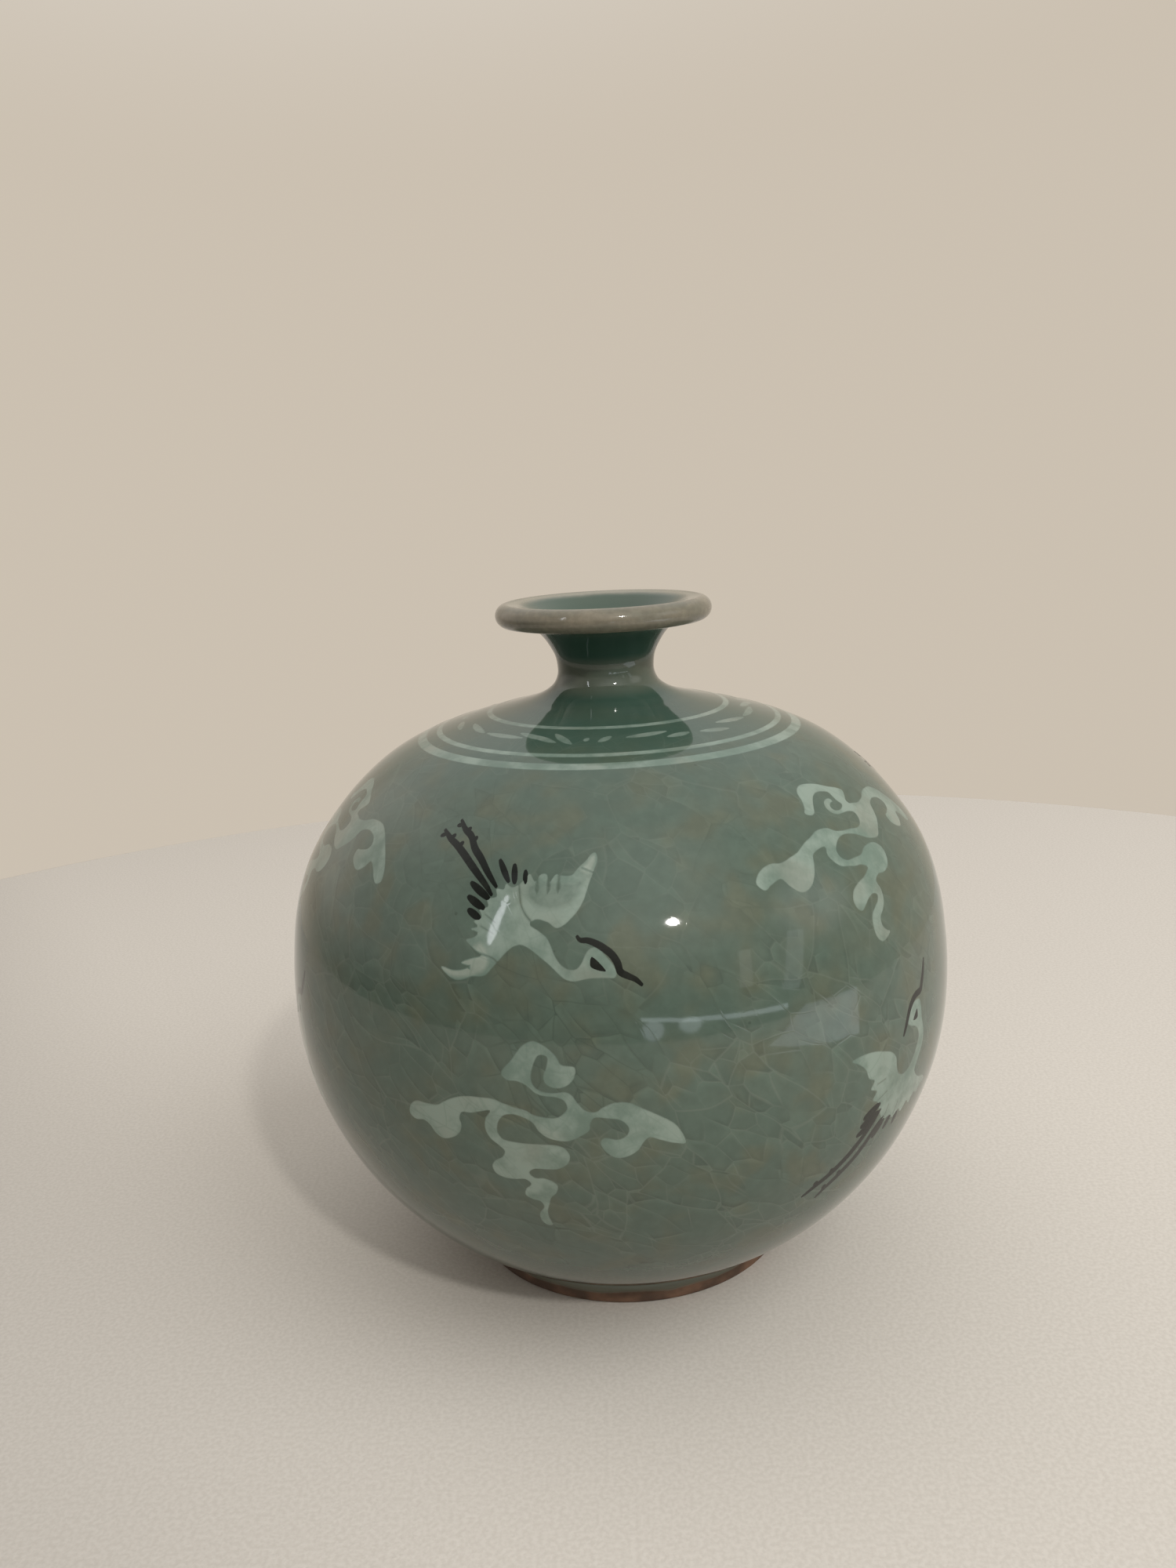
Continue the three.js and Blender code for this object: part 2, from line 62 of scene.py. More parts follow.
# Fineness of the meshes
SEGMENTS = 240
ROW_STEP = 1.1
FINE_STEP = 0.35
FINEST_STEP = 0.245
RIM_STEP = 0.3
SMALL_RIM_STEP = 0.2
GRID_STEP = 0.9
GRID_GAP = 0.3
CURVE_STEP = 0.02
MERGE_GAP = 1e-5
TINY = 1e-12

# Clearance of a patch's inner points from its rim, as shares of the soft edge
RING_CLEAR = 0.85
GRID_CLEAR = 1.8
EXTRA_CLEAR = 0.6

# Reach to both sides over which slopes are measured: along the outline, and round in radians
SLOPE_REACH = 0.1
NORMAL_REACH = 0.2
NORMAL_TURN = 0.004

# Hand-made unevenness of the wall: waves round, waves along per mm, phase and height, and
# the small inset at the girth that keeps them inside the true size
WAVES = [(3, 0.045, 0.4, 0.016), (5, 0.078, 2.1, 0.012), (8, 0.05, 4.4, 0.008)]
INSET = 0.1
INSET_FROM_R = 34.0
INSET_FULL_R = 48.0

# Heights of the inlays off the wall, and the width of their soft edge
WHITE_UP = 0.035
BLACK_UP = 0.05
RIM_DOWN = -0.02
INLAY_DEPTH = 0.6
SOFT_EDGE = 0.32
COVER_RISE = 2.5

# Ways along the outline near the foot and the neck, where the rows are finer
FOOT_NEAR = 4.0
NECK_NEAR = 12.0

# The globe's inner face: where it starts below the neck, its steps and its round ends
INNER_FROM = 8.0
INNER_STEP = 3.0
INNER_REACH = 0.5
INNER_CLEAR = 0.5
BORE_ROUND = 1.0
FLOOR_ROUND = 3.0
FLAT_R = 12.0

# The foot ring inside and underneath, and the outline from the foot up to the mouth, all as
# radius and height
FOOT_INSIDE = [[24.3, 0.8], [24.55, 0.25], [25.1, 0.0]]
FOOT_UNDER = [26.7, 0.0]
FOOT_WALL = [
    [28.9, 0.0], [29.4, 0.3], [29.6, 0.9], [29.72, 2.0], [29.86, 3.2], [30.3, 4.2], [31.2, 4.86],
]
GLOBE_WALL = [
    [33.1, 6.0], [36.7, 8.5], [41.0, 12.0], [45.1, 16.0], [49.2, 21.0], [52.9, 26.7],
    [55.9, 33.0], [58.3, 40.0], [59.6, 47.0], [60.0, 54.3], [59.6, 61.6], [58.3, 70.0],
    [55.7, 77.5], [51.6, 84.0], [46.4, 90.0], [40.2, 95.0], [33.4, 98.4], [25.4, 101.0],
    [16.2, 103.4],
]
NECK_WALL = [
    [13.2, 104.3], [10.9, 105.4], [9.4, 106.7], [8.7, 108.3], [8.65, 109.8], [8.95, 111.6],
    [9.8, 113.4], [11.0, 115.2], [12.4, 116.5], [14.0, 117.1],
]
LIP_ROLL_ANGLES = range(-90, 120, 20)
MOUTH = [
    [15.3, 121.0], [14.2, 120.6], [13.2, 120.0], [11.8, 119.05], [10.4, 118.05], [8.9, 116.7],
    [6.9, 113.6], [5.6, 110.4], [5.8, 107.6], [7.6, 105.4], [10.6, 103.4],
]

# Shoulder rings: radius on the wall and width of the band
RINGS = {
    "inner_ring_inlay": (21.3, 1.1),
    "middle_ring_inlay": (30.5, 1.1),
    "outer_ring_inlay": (33.6, 1.8),
}

# Motif outlines on the unrolled wall: x is the arc at the widest girth, to the right of
# the front, and y is the way up the wall from there
UPPER_CRANE = [
    [-3.5, 37.4], [-3.1, 36.2], [-3.7, 34.6], [-4.6, 32.4], [-5.5, 29.8], [-6.9, 27.7],
    [-9.6, 25.7], [-11.4, 26.6], [-13.3, 26.9], [-14.2, 26.2], [-12.8, 25.3], [-11.4, 24.4],
    [-10.6, 23.2], [-9.9, 21.7], [-8.9, 20.4], [-7.8, 19.8], [-6.6, 19.8], [-5.8, 20.6],
    [-5.2, 21.8], [-4.6, 22.6], [-3.8, 22.9], [-2.8, 22.4], [-1.8, 21.4], [-1, 20.4],
    [-0.5, 19.4], [-0.7, 18.5], [-2.4, 18.5], [-4.8, 18.4], [-7, 18], [-8.2, 18.3],
    [-9.2, 19], [-10.2, 19.9], [-11.6, 21], [-14.2, 22.7], [-15.4, 23.1], [-16.6, 22.8],
    [-17.6, 22], [-19.6, 19.8], [-20.9, 18.4], [-21.8, 18.1], [-23.1, 18], [-24.4, 17.5],
    [-25.8, 17.2], [-27.2, 17.6], [-28.8, 18.9], [-26.5, 18.6], [-24.8, 18.9], [-23.9, 19.4],
    [-25.3, 19.8], [-23.6, 20.6], [-21.9, 21.2], [-23.2, 22], [-24.9, 23.3], [-23.6, 23.7],
    [-22.9, 24.4], [-24.3, 24.9], [-23.1, 25.4], [-24, 26.1], [-22.7, 26.8], [-23.4, 28],
    [-21.9, 28.5], [-22.3, 29.6], [-20.7, 30.1], [-21, 31.3], [-19.6, 31.3], [-19.4, 32.2],
    [-18.2, 31.7], [-16.8, 32.3], [-15.3, 33.9],
    [-14.2, 32.8], [-13.2, 33.9], [-12.2, 33.9], [-11.5, 32.8], [-10.5, 33.9], [-9.2, 33.7],
    [-7.7, 33.8], [-6.6, 34.9], [-5.2, 36.1], [-4.3, 37.1],
]
LOWER_CRANE = [
    [37.2, -0.6], [40, -0.3], [42.5, -0.6], [44.8, -1.3], [47, -2.2], [48.4, -3.6],
    [48.8, -5.3], [49.6, -6.9], [51.2, -7.6], [53, -7.1], [54.2, -5.9], [55.2, -4.4],
    [55.9, -2.8], [55.5, -1.4], [54.3, -0.4], [52.8, 0.2], [51.9, 0.9], [52.3, 2.2],
    [53.4, 3.4], [54.8, 3.9], [56.2, 3.6], [56.8, 2], [57, 0.2], [57.7, -1.7],
    [57.9, -3.5], [57.4, -5.3], [56.3, -7], [55.6, -8.6], [56.6, -10], [58.6, -11.2],
    [60.8, -12], [62.4, -13.6], [60.4, -13.5], [59.2, -14.6], [57.6, -13.9], [56.3, -15.4],
    [54.9, -14.4], [53.4, -15.8], [52, -14.7], [50.4, -15.6], [49, -14.6], [47.2, -14.7],
    [46, -13.4], [45, -11.6], [44.3, -10.2], [42.8, -9.2], [43.6, -7.9], [42, -7],
    [42.7, -5.7], [41.3, -4.8], [40.4, -3], [38.8, -1.6],
]
LOWER_CLOUD = [
    [-7.9, 1.2], [-7, -0.1], [-5.9, -1.3], [-4.4, -1.5], [-3.4, -0.8], [-1.7, -0.1],
    [0.3, -0.1], [2.3, -1.1], [5, -2.6], [7, -4], [8.1, -5.6], [8.6, -7.5],
    [7, -7.3], [5, -6.6], [3.3, -6], [2.5, -6.6], [1.6, -8], [0, -9.1],
    [-1.7, -9.3], [-3.2, -8.3], [-4, -6.6], [-3.4, -5.8], [-1.4, -6.1], [-0.1, -5.5],
    [0.3, -4.3], [-0.7, -3], [-2.7, -2.6], [-4.7, -2.5], [-5.3, -3.3], [-5.5, -4.5],
    [-7, -5.6], [-8.7, -6.4], [-10.4, -6.4], [-12, -5.9], [-13.2, -4.9], [-13.9, -3.7],
    [-15, -3], [-16.7, -2.5], [-18.4, -2.8], [-19.4, -4], [-19.7, -5.6], [-19, -6.8],
    [-16.7, -7.2], [-12.4, -7.2], [-10.7, -7.2], [-9.4, -7.7], [-8.7, -9], [-9.2, -10.5],
    [-10.7, -11.5], [-12.7, -11.7], [-14.5, -11.8], [-15.4, -12.6], [-14.6, -13.5],
    [-13, -13.5], [-11.2, -14.6], [-11.5, -16.3], [-12.5, -17.5], [-13, -19],
    [-13.5, -20.5], [-13.5, -22.3], [-13.2, -24], [-14.2, -24.1], [-15, -23],
    [-15, -21.3], [-14, -19.6], [-14.4, -18.5], [-15.7, -18.1], [-16.7, -17.3],
    [-16.4, -16], [-15.4, -14.8], [-16.2, -14], [-18, -14.2], [-19.7, -14.1],
    [-21, -13.5], [-21.4, -12.1], [-20.7, -11], [-19.4, -10.1], [-18.9, -9],
    [-19.7, -8.1], [-21, -7], [-21.7, -5.3], [-21.4, -3.6], [-20.6, -2.3], [-22, -2.6],
    [-23.7, -3.1], [-25.4, -3.3], [-25.9, -4.3], [-25.7, -5.6], [-26.4, -7.1], [-27.7, -8.1],
    [-29.4, -8.6], [-30.7, -8], [-31.7, -6.6], [-32.7, -6.1], [-34.4, -6.3], [-35.4, -5.5],
    [-35, -4], [-33.7, -3], [-31.7, -3], [-29.7, -2.8], [-28.4, -2], [-26.7, -1.1],
    [-24.7, -0.5], [-22, -0.3], [-20, -0.3], [-18, -0.9], [-16.7, -1.3], [-15, -1.6],
    [-13.7, -2.3], [-12, -2.6], [-10.4, -2.6], [-9.4, -2], [-8.6, -1], [-9, 0.2],
    [-10.2, 0.7], [-11.6, 0.8], [-13, 1.1], [-14.7, 2.4], [-16, 2.9], [-17.7, 3],
    [-18.4, 4], [-16.7, 6.2], [-15, 8.4], [-13.4, 9.2], [-11.4, 8.4], [-9.9, 7],
    [-9.2, 5.8], [-7.2, 5.4], [-7.4, 3.7], [-8.8, 2.4], [-10.6, 2.2], [-11.8, 3],
    [-11.9, 4], [-11.4, 5.4], [-11.3, 6.9], [-12.5, 7.1], [-13.3, 5.8], [-13.8, 3.6],
    [-13.3, 2.2], [-12, 1.5], [-10.3, 1.4], [-8.8, 1.6],
]
UPPER_CLOUD = [
    [24.5, 29.8], [25.2, 31.1], [26.8, 32.1], [28.8, 32.5], [30.6, 32.3], [33, 32.8],
    [35, 33.3], [37.7, 34.5], [40, 35.2], [41.7, 35.8], [43.5, 35.9], [45.2, 35.7],
    [46.8, 34.9], [48.6, 34.5], [51.1, 34.3], [53.6, 34], [55.1, 34.3], [56.1, 35.2],
    [56.2, 36.3], [54.9, 36.9], [52.3, 37.1], [50.6, 37.2], [49.3, 37.8], [48.7, 38.9],
    [49.2, 39.8], [50.4, 40.3], [51.8, 40.2], [52.2, 39.6], [51, 39.4], [50.2, 38.8],
    [50.6, 38.1], [51.8, 37.8], [53.4, 38], [54.2, 38.5], [53.6, 39.4], [53.4, 40.3],
    [53.2, 41.2], [51.5, 41.8], [49.5, 42], [47.9, 41.6], [46.6, 40.8], [45.5, 39.7],
    [44.5, 38.7], [43.2, 38.5], [42, 39.1], [42.9, 40.1], [43.6, 41.3], [43.9, 42.7],
    [44.9, 43.7], [46.8, 44.2], [49.3, 44], [51.8, 43.4], [54.6, 42.3], [57.2, 41.4],
    [58.4, 40.6], [57.7, 39.7], [56.6, 38.8], [56.8, 38.2], [58.2, 37.9], [60, 37.6],
    [62.9, 37.9], [65.7, 38.7], [68.4, 38.8], [70.7, 38.5], [73, 37.4], [75.5, 35.4],
    [77.6, 33.3], [78.8, 31.6], [79.3, 29.5], [78.1, 29], [76.8, 29.8], [75.5, 31.1],
    [73.8, 32.1], [72.5, 30.8], [70.7, 30], [68.7, 30.6], [67.2, 31.8], [67.2, 33.1],
    [68.4, 33.3], [70.5, 33.8], [71.2, 34.6], [70.5, 35.8], [68.4, 36.6], [66.4, 36.7],
    [64.4, 36.1], [63.5, 34.9], [62.4, 33.6], [60.6, 32.4], [58.4, 31.2], [55.9, 31.4],
    [53.9, 32.1], [51.8, 33.1], [50, 33.6], [48.3, 33.8], [46.5, 33.5], [45.2, 32.8],
    [44.2, 31.8], [44.3, 30.7], [45.4, 29.9], [47.5, 29.8], [50, 29.9], [51.6, 30.6],
    [53.6, 30.9], [55.9, 30.6], [57.3, 29.3], [57, 27.6], [55.6, 26.3], [53.6, 25.8],
    [51.8, 25.9], [50.3, 25.1], [50.6, 23.6], [50.3, 22], [49.2, 20.6], [48, 19.7],
    [47.9, 18.4], [48.8, 17.4], [49.6, 17], [48.5, 16.3], [47, 16], [45.9, 16.9],
    [45.5, 18.7], [46, 20.5], [47.3, 21.5], [48.5, 22.2], [49, 23.1], [48, 23.5],
    [46.5, 23.1], [45.3, 22.4], [44, 21.7], [43, 22.2], [42.6, 23.5], [43.5, 25],
    [45.3, 25.9], [47.3, 26.4], [48.8, 27], [49.8, 27.6], [48.6, 28.3], [46.8, 28.5],
    [45, 28.9], [43.5, 29.2], [42.2, 30.2], [41.5, 31.6], [41.9, 32.9], [39.7, 32.8],
    [38.2, 32.2], [37.5, 30.8], [36.6, 29.3], [35.1, 27.8], [33.3, 27.1], [32.1, 27.3],
    [30.6, 28.5], [29.5, 29.8], [27.4, 29.3], [25.7, 28.6],
]

# Brush strokes: fineness, blank share at each end, bluntness and width of the soft edge
STROKE_STEP = 0.25
STROKE_END = 0.02
STROKE_BLUNT = 0.4
STROKE_SOFT = 0.22
EYE_SOFT = 0.2

# Dark strokes of the cranes: centre line and width, with the barbs of the legs
UPPER_CRANE_STROKES = {
    "crest": [
        ([[-6.5, 24.6], [-6, 24], [-4.8, 23.9], [-3.4, 23.4], [-2.2, 22.7], [-1.1, 21.8],
          [-0.3, 20.6], [0.1, 19.3], [1.3, 18.6], [2.3, 18.1], [3.3, 17.2]], 1.1),
    ],
    "leg_left": [
        ([[-36.3, 40.1], [-33.9, 38.7], [-31.7, 37.7], [-29.5, 36.4], [-27.2, 34.8],
          [-24.9, 33.1], [-22.9, 31.5], [-21.6, 30.2]], 1.25),
        ([[-34, 38.4], [-33, 39.5]], 0.95),
        ([[-31.3, 37.3], [-30.5, 38.4]], 0.95),
        ([[-36.6, 38.9], [-35.2, 39.4]], 0.8),
    ],
    "leg_right": [
        ([[-33.4, 42.2], [-31.4, 40.6], [-29.3, 39.5], [-27.5, 37.5], [-25.4, 35.8],
          [-23.4, 33.8], [-21, 31.5]], 1.25),
        ([[-30.9, 39.9], [-30.1, 41]], 0.95),
        ([[-28.6, 38.5], [-27.8, 39.5]], 0.95),
        ([[-33.7, 41.1], [-32.4, 41.3]], 0.8),
    ],
    "feathers": [
        ([[-26.2, 32], [-21.9, 29.6]], 1.2),
        ([[-26.1, 29.8], [-22.4, 28]], 1.2),
        ([[-25.5, 27.8], [-22.9, 26.5]], 1.15),
        ([[-21.6, 36], [-18.9, 32.4]], 1.05),
        ([[-18.5, 35.4], [-17.8, 32.2]], 1.1),
        ([[-16.2, 34.5], [-15.8, 32.2]], 0.9),
    ],
}
LOWER_CRANE_STROKES = {
    "crest": [
        ([[50.5, -0.8], [51.5, 1.1], [52.6, 3.1], [54, 4.4], [55.2, 4.8], [56.8, 5],
          [57.6, 6.2], [58.5, 7.9], [59.2, 9.6]], 1.1),
    ],
    "leg_left": [
        ([[31, -24.7], [33.6, -23], [36.4, -21.3], [39.2, -19.1], [41.4, -16.9],
          [43.4, -14.6], [45.6, -11.8]], 1.35),
        ([[33.6, -23.3], [33.2, -21.9]], 1.0),
        ([[36.4, -21.6], [36.2, -20.2]], 1.0),
    ],
    "leg_right": [
        ([[34.7, -26.5], [36.4, -24.7], [39.2, -22.4], [41.4, -20.5], [43.6, -17.9],
          [45.2, -15.6], [47, -13.8]], 1.35),
        ([[36.3, -25.2], [35.7, -23.8]], 1.0),
        ([[38.8, -23], [38.4, -21.6]], 1.0),
    ],
    "feathers": [
        ([[41.2, -12.2], [45.2, -10.6]], 1.5),
        ([[40.8, -13.6], [45, -12.2]], 1.5),
        ([[40.3, -15.2], [44.2, -13.6]], 1.4),
        ([[45.2, -17.6], [47.4, -14.4]], 1.3),
        ([[48.2, -17], [49.4, -14.6]], 1.2),
        ([[51.2, -17.4], [51.8, -15]], 1.1),
    ],
}
UPPER_CRANE_EYE = [[-4.2, 21.6], [-4.4, 20.1], [-2, 19.4]]
LOWER_CRANE_EYE = [[55.1, 2.4], [53.7, 0.8], [55.3, 0.8]]

# Veils of the upper crane: outlines with the share of the clay that is missing inside. The
# near wing is thin inside its hem; a share below zero makes its tip and the tail thicker.
UPPER_CRANE_WING = [
    [-4.9, 33.6], [-5.5, 32], [-6.4, 30.2], [-7.6, 28.9], [-9.2, 28.3], [-11, 28],
    [-12.9, 28.3], [-14.6, 29.2], [-15.8, 30.6], [-15.5, 32.4], [-13, 33], [-10, 33],
    [-7.6, 33],
]
UPPER_CRANE_TIP = UPPER_CRANE[:3] + [[-4.4, 33.4], [-5.6, 33.9], [-6.9, 34.2]] + UPPER_CRANE[-2:]
UPPER_CRANE_TAIL = [
    [-20.2, 21], [-20.6, 19], [-23.1, 17.6], [-27.2, 17.3], [-29.2, 18.9], [-25.6, 20.4],
    [-23.4, 23], [-21.8, 23.4],
]
UPPER_CRANE_VEILS = [
    (UPPER_CRANE_WING, 0.38), (UPPER_CRANE_TIP, -0.5), (UPPER_CRANE_TAIL, -0.4),
]
VEIL_EDGE = 0.9

# Seams inside the cranes: line, width and the share of the clay that is missing along it
UPPER_CRANE_SEAMS = [
    ([[-16.9, 32], [-16.5, 30.4], [-16, 28.9], [-15, 27.5], [-13.9, 26.5], [-12.6, 25.6],
      [-11.4, 25], [-10.2, 24.9]], 0.4, 0.6),
    ([[-13.9, 34.2], [-13.6, 31.4]], 0.5, 0.8),
    ([[-11.8, 34.2], [-11.6, 31.5]], 0.5, 0.8),
    ([[-9.9, 34.2], [-9.9, 31.7]], 0.5, 0.7),
    ([[-5.9, 34.9], [-4, 34.2]], 0.3, 0.6),
    ([[-22, 27.2], [-20.2, 26.2]], 0.3, 0.5),
    ([[-22.4, 25.4], [-20.4, 24.6]], 0.3, 0.5),
    ([[-22.4, 21.5], [-19.8, 20.9], [-18.6, 19.9]], 0.3, 0.6),
]
LOWER_CRANE_SEAMS = [
    ([[44.6, -9.6], [46.6, -8.9]], 0.3, 0.5),
    ([[43.7, -6.6], [45.6, -6.4]], 0.3, 0.5),
    ([[47.2, -13.9], [47.9, -12]], 0.3, 0.5),
    ([[50.4, -14.8], [50.9, -12.8]], 0.3, 0.5),
]

# Leaf band of the shoulder: angle in degrees and radius at both ends of each pale stroke
LEAVES = [
    ((-54, 25.6), (-34, 25.5)), ((-38, 23.9), (-23, 25.6)), ((-31, 24.3), (-19, 26.5)),
    ((-22, 23.4), (-13, 27.0)), ((-9.4, 25.2), (-7.2, 25.6)), ((-4, 26.3), (1, 24.5)),
    ((6, 25.2), (23, 24.4)), ((21, 26.3), (31, 25.8)), ((35, 26.1), (48, 27.2)),
    ((47, 24.6), (65, 25.8)),
]
LEAF_WIDTH = 1.4
LEAF_BLUNT = 0.6
LEAF_RIM_STEP = 0.25
LEAF_COVER = 0.7

# Outline, dark strokes, eye, seams and veils of each motif
MOTIFS = {
    "upper_crane": (UPPER_CRANE, UPPER_CRANE_STROKES, UPPER_CRANE_EYE, UPPER_CRANE_SEAMS,
                    UPPER_CRANE_VEILS),
    "lower_crane": (LOWER_CRANE, LOWER_CRANE_STROKES, LOWER_CRANE_EYE, LOWER_CRANE_SEAMS, ()),
    "upper_cloud": (UPPER_CLOUD, {}, None, (), ()),
    "lower_cloud": (LOWER_CLOUD, {}, None, (), ()),
}

# The camera: place in metres, and turns in radians from level and straight ahead
CAMERA_PLACE = (0.0, -0.2351, 0.1430)
CAMERA_YAW = -0.018
CAMERA_PITCH = -0.231
CAMERA_ROLL = -0.050
SENSOR_MM = 36.0
LENS_MM = 30.25
VASE_MIDDLE = np.array([0.0, 0.0, 0.06])

# The round tabletop: sides, place, and profile as radius and height in metres
TABLE_SIDES = 160
TABLE_PLACE = (0.0, -0.01, -0.0001)
TABLE_PROFILE = [
    (0.08, 0.0), (0.2, 0.0), (0.358, 0.0), (0.366, -0.002), (0.37, -0.008), (0.37, -0.25),
]


def rgb(red, green, blue):
    return (red, green, blue, 1.0)


# Colours of the glaze and the clays, linear
GLAZE_OPEN = rgb(0.096, 0.124, 0.095)
GLAZE_TEAL = rgb(0.083, 0.120, 0.095)
GLAZE_OLIVE = rgb(0.105, 0.120, 0.083)
# A dark green for pooled glaze; on the shoulder and the upper neck it is also painted shade under the
# lip and a painted dark reflection of the neck
GLAZE_DARK_GREEN = rgb(0.032, 0.073, 0.054)
# Milky pale glaze pooled in the crease above the foot, and a painted highlight band along that crease
GLAZE_MILKY_HIGHLIGHT = rgb(0.152, 0.172, 0.144)
CRACK_DARK = rgb(0.048, 0.067, 0.050)
CRACK_PALE = rgb(0.151, 0.178, 0.144)
WHITE_THIN = rgb(0.148, 0.211, 0.173)
WHITE_FULL = rgb(0.240, 0.302, 0.257)
WHITE_WARM = rgb(0.245, 0.266, 0.220)
WHITE_THICK = rgb(0.316, 0.359, 0.306)
BLACK_SLIP = rgb(0.002, 0.004, 0.002)
BLACK_THIN = rgb(0.009, 0.012, 0.008)
LIP_THIN = rgb(0.226, 0.198, 0.148)
LIP_THICK = rgb(0.160, 0.152, 0.116)
# Pale band on the lip's inner crest: thin glaze and a painted highlight
LIP_THIN_CREST_HIGHLIGHT = rgb(0.270, 0.262, 0.205)
RUST_DARK = rgb(0.074, 0.044, 0.029)
RUST_PALE = rgb(0.166, 0.092, 0.057)
FOOT_GLAZE = rgb(0.124, 0.116, 0.084)
GLAZE_IOR = 1.45
GLAZE_ROUGHNESS = 0.05
LIP_ROUGHNESS = 0.11

# Colours of the room and the cloth, linear
ROOM_LEFT = rgb(0.14, 0.135, 0.125)
ROOM_FRONT = rgb(0.17, 0.17, 0.162)
ROOM_GLOW = rgb(0.48, 0.44, 0.39)
ROOM_WALL = rgb(0.60, 0.530, 0.440)
ROOM_CEILING = rgb(0.88, 0.87, 0.84)
CLOTH_DARK = rgb(0.60, 0.555, 0.505)
CLOTH_PALE = rgb(0.66, 0.615, 0.565)
# A painted shadow darkens the cloth towards the front left
CLOTH_LEFT = (-0.85, -0.5, 0.0)
CLOTH_LEFT_SHADE = 0.82
CLOTH_SHADE_WAY = (0.045, 0.12)
CLOTH_ROUGHNESS = 0.9
CLOTH_IOR = 1.4

# Crackle: cell sizes in metres, the twist that leans it, and the width of a line
CRACK_LARGE = 0.0102
CRACK_SMALL = 0.0042
CRACK_TWIST = 10.5
CRACK_FLATTEN = 0.8
CRACK_WARP = 0.006
CRACK_LINE = 0.00014
# Width of the painted light and shade beside each crackle line, and the side it is painted as lit from
CRACK_SHADE = 0.0008
CRACK_LIT_FROM = (0.9, -0.7, 1.3)

# Heights (Z) and radii (R) in metres, each a pair between which the glaze changes
CALM_R = (0.019, 0.036)
CALM_Z = (0.060, 0.085)
# Darker green on the shoulder and the upper neck: pooled glaze, and also painted shade under the lip
# and a painted dark reflection of the neck on the shoulder
POOL_SHADE_NECK_R = (0.0105, 0.016)
POOL_SHADE_SHOULDER_R = (0.020, 0.046)
POOL_SHADE_Z = (0.090, 0.098)
WAIST_LOW_Z = (0.1045, 0.1070)
WAIST_HIGH_Z = (0.1100, 0.1125)
# The glaze is darker towards the bottom
DARKER_BELOW_Z = (0.006, 0.052)
# The pale band in the crease above the foot: milky pooled glaze and a painted highlight
MILKY_HIGHLIGHT_Z = (0.0046, 0.0062)
LIP_TOP_Z = (0.1185, 0.1196)
# Radii of the pale band on the lip's crest: thin glaze and a painted highlight
CREST_HIGHLIGHT_FROM_R = (0.0146, 0.0161)
CREST_HIGHLIGHT_TO_R = (0.0168, 0.0184)
MOUTH_GREEN_R = (0.0144, 0.0161)
FOOT_BARE_Z = (0.0012, 0.0019)
FOOT_OLIVE_Z = (0.0028, 0.0040)

# How far those edges wander on the lip and the foot, and how much wider the mouth's green
# is below the top of the lip
LIP_UNEVEN = 0.0012
FOOT_UNEVEN = 0.0016
GREEN_WIDER = 0.0010


def smoothstep(value, low, high):
    """0 below low, 1 above high, and a smooth way between."""
    t = np.clip((value - low) / (high - low), 0, 1)
    return t * t * (3 - 2 * t)


def unit(vectors):
    """Vectors brought to a length of one."""
    return vectors / np.maximum(np.linalg.norm(vectors, axis=-1, keepdims=True), TINY)


def sideways(along):
    """Unit vectors a quarter turn to the left of flat directions."""
    return unit(np.stack([-along[:, 1], along[:, 0]], axis=-1))


def gaps(points):
    """Distance from each point to the next."""
    return np.linalg.norm(np.diff(points, axis=0), axis=1)


def running_total(steps):
    """Way to each point from the steps between them."""
    return np.concatenate([[0], np.cumsum(steps)])


def curve_through(points, closed=False):
    """A smooth curve through an outline, as close points, with the way to each."""
    points = np.array(points, float)
    if closed:
        points = np.vstack([points[-1], points, points[:2]])
    else:
        points = np.vstack([2 * points[0] - points[1], points, 2 * points[-1] - points[-2]])
    knots = running_total(np.sqrt(gaps(points)))
    slopes = np.gradient(points, knots, axis=0)
    count = int(gaps(points[1:-1]).sum() / CURVE_STEP) + 8
    at = np.linspace(knots[1], knots[-2], count)
    i = np.clip(np.searchsorted(knots, at, side="right") - 1, 1, len(knots) - 3)
    span = (knots[i + 1] - knots[i])[:, None]
    s = (at - knots[i])[:, None] / span
    fine = (
        (2 * s**3 - 3 * s**2 + 1) * points[i]
        + (s**3 - 2 * s**2 + s) * span * slopes[i]
        + (3 * s**2 - 2 * s**3) * points[i + 1]
        + (s**3 - s**2) * span * slopes[i + 1]
    )
    return fine, running_total(gaps(fine))


def spaced(points, step, closed=False):
    """Evenly spaced points along a smooth curve through an outline."""
    fine, ways = curve_through(points, closed)
    count = max(int(round(ways[-1] / step)), 3)
    at = np.linspace(0, ways[-1], count + 1)
    if closed:
        at = at[:-1]
    return np.stack([np.interp(at, ways, fine[:, k]) for k in range(2)], axis=-1)


def skin_outline():
    """The whole visible outline, from the foot over the lip and down the bore."""
    roll = [
        [LIP_ROLL_R + LIP_ROLL_T * math.cos(math.radians(a)),
         LIP_ROLL_Z + LIP_ROLL_T * math.sin(math.radians(a))]
        for a in LIP_ROLL_ANGLES
    ]
    return curve_through(FOOT_WALL + GLOBE_WALL + NECK_WALL + roll + MOUTH)


SKIN, WAYS = skin_outline()
GIRTH_WAY = WAYS[np.argmax(SKIN[:, 0])]
ANGLES = np.arange(SEGMENTS) / SEGMENTS * math.tau


def way_up_to(height):
    """Way along the skin to its first point at a height."""
    return WAYS[np.argmax(SKIN[:, 1] >= height)]


def up_to_radius(radius):
    """Way from the girth up to where the shoulder draws in to a radius."""
    return WAYS[np.argmax((WAYS > GIRTH_WAY) & (SKIN[:, 0] <= radius))] - GIRTH_WAY


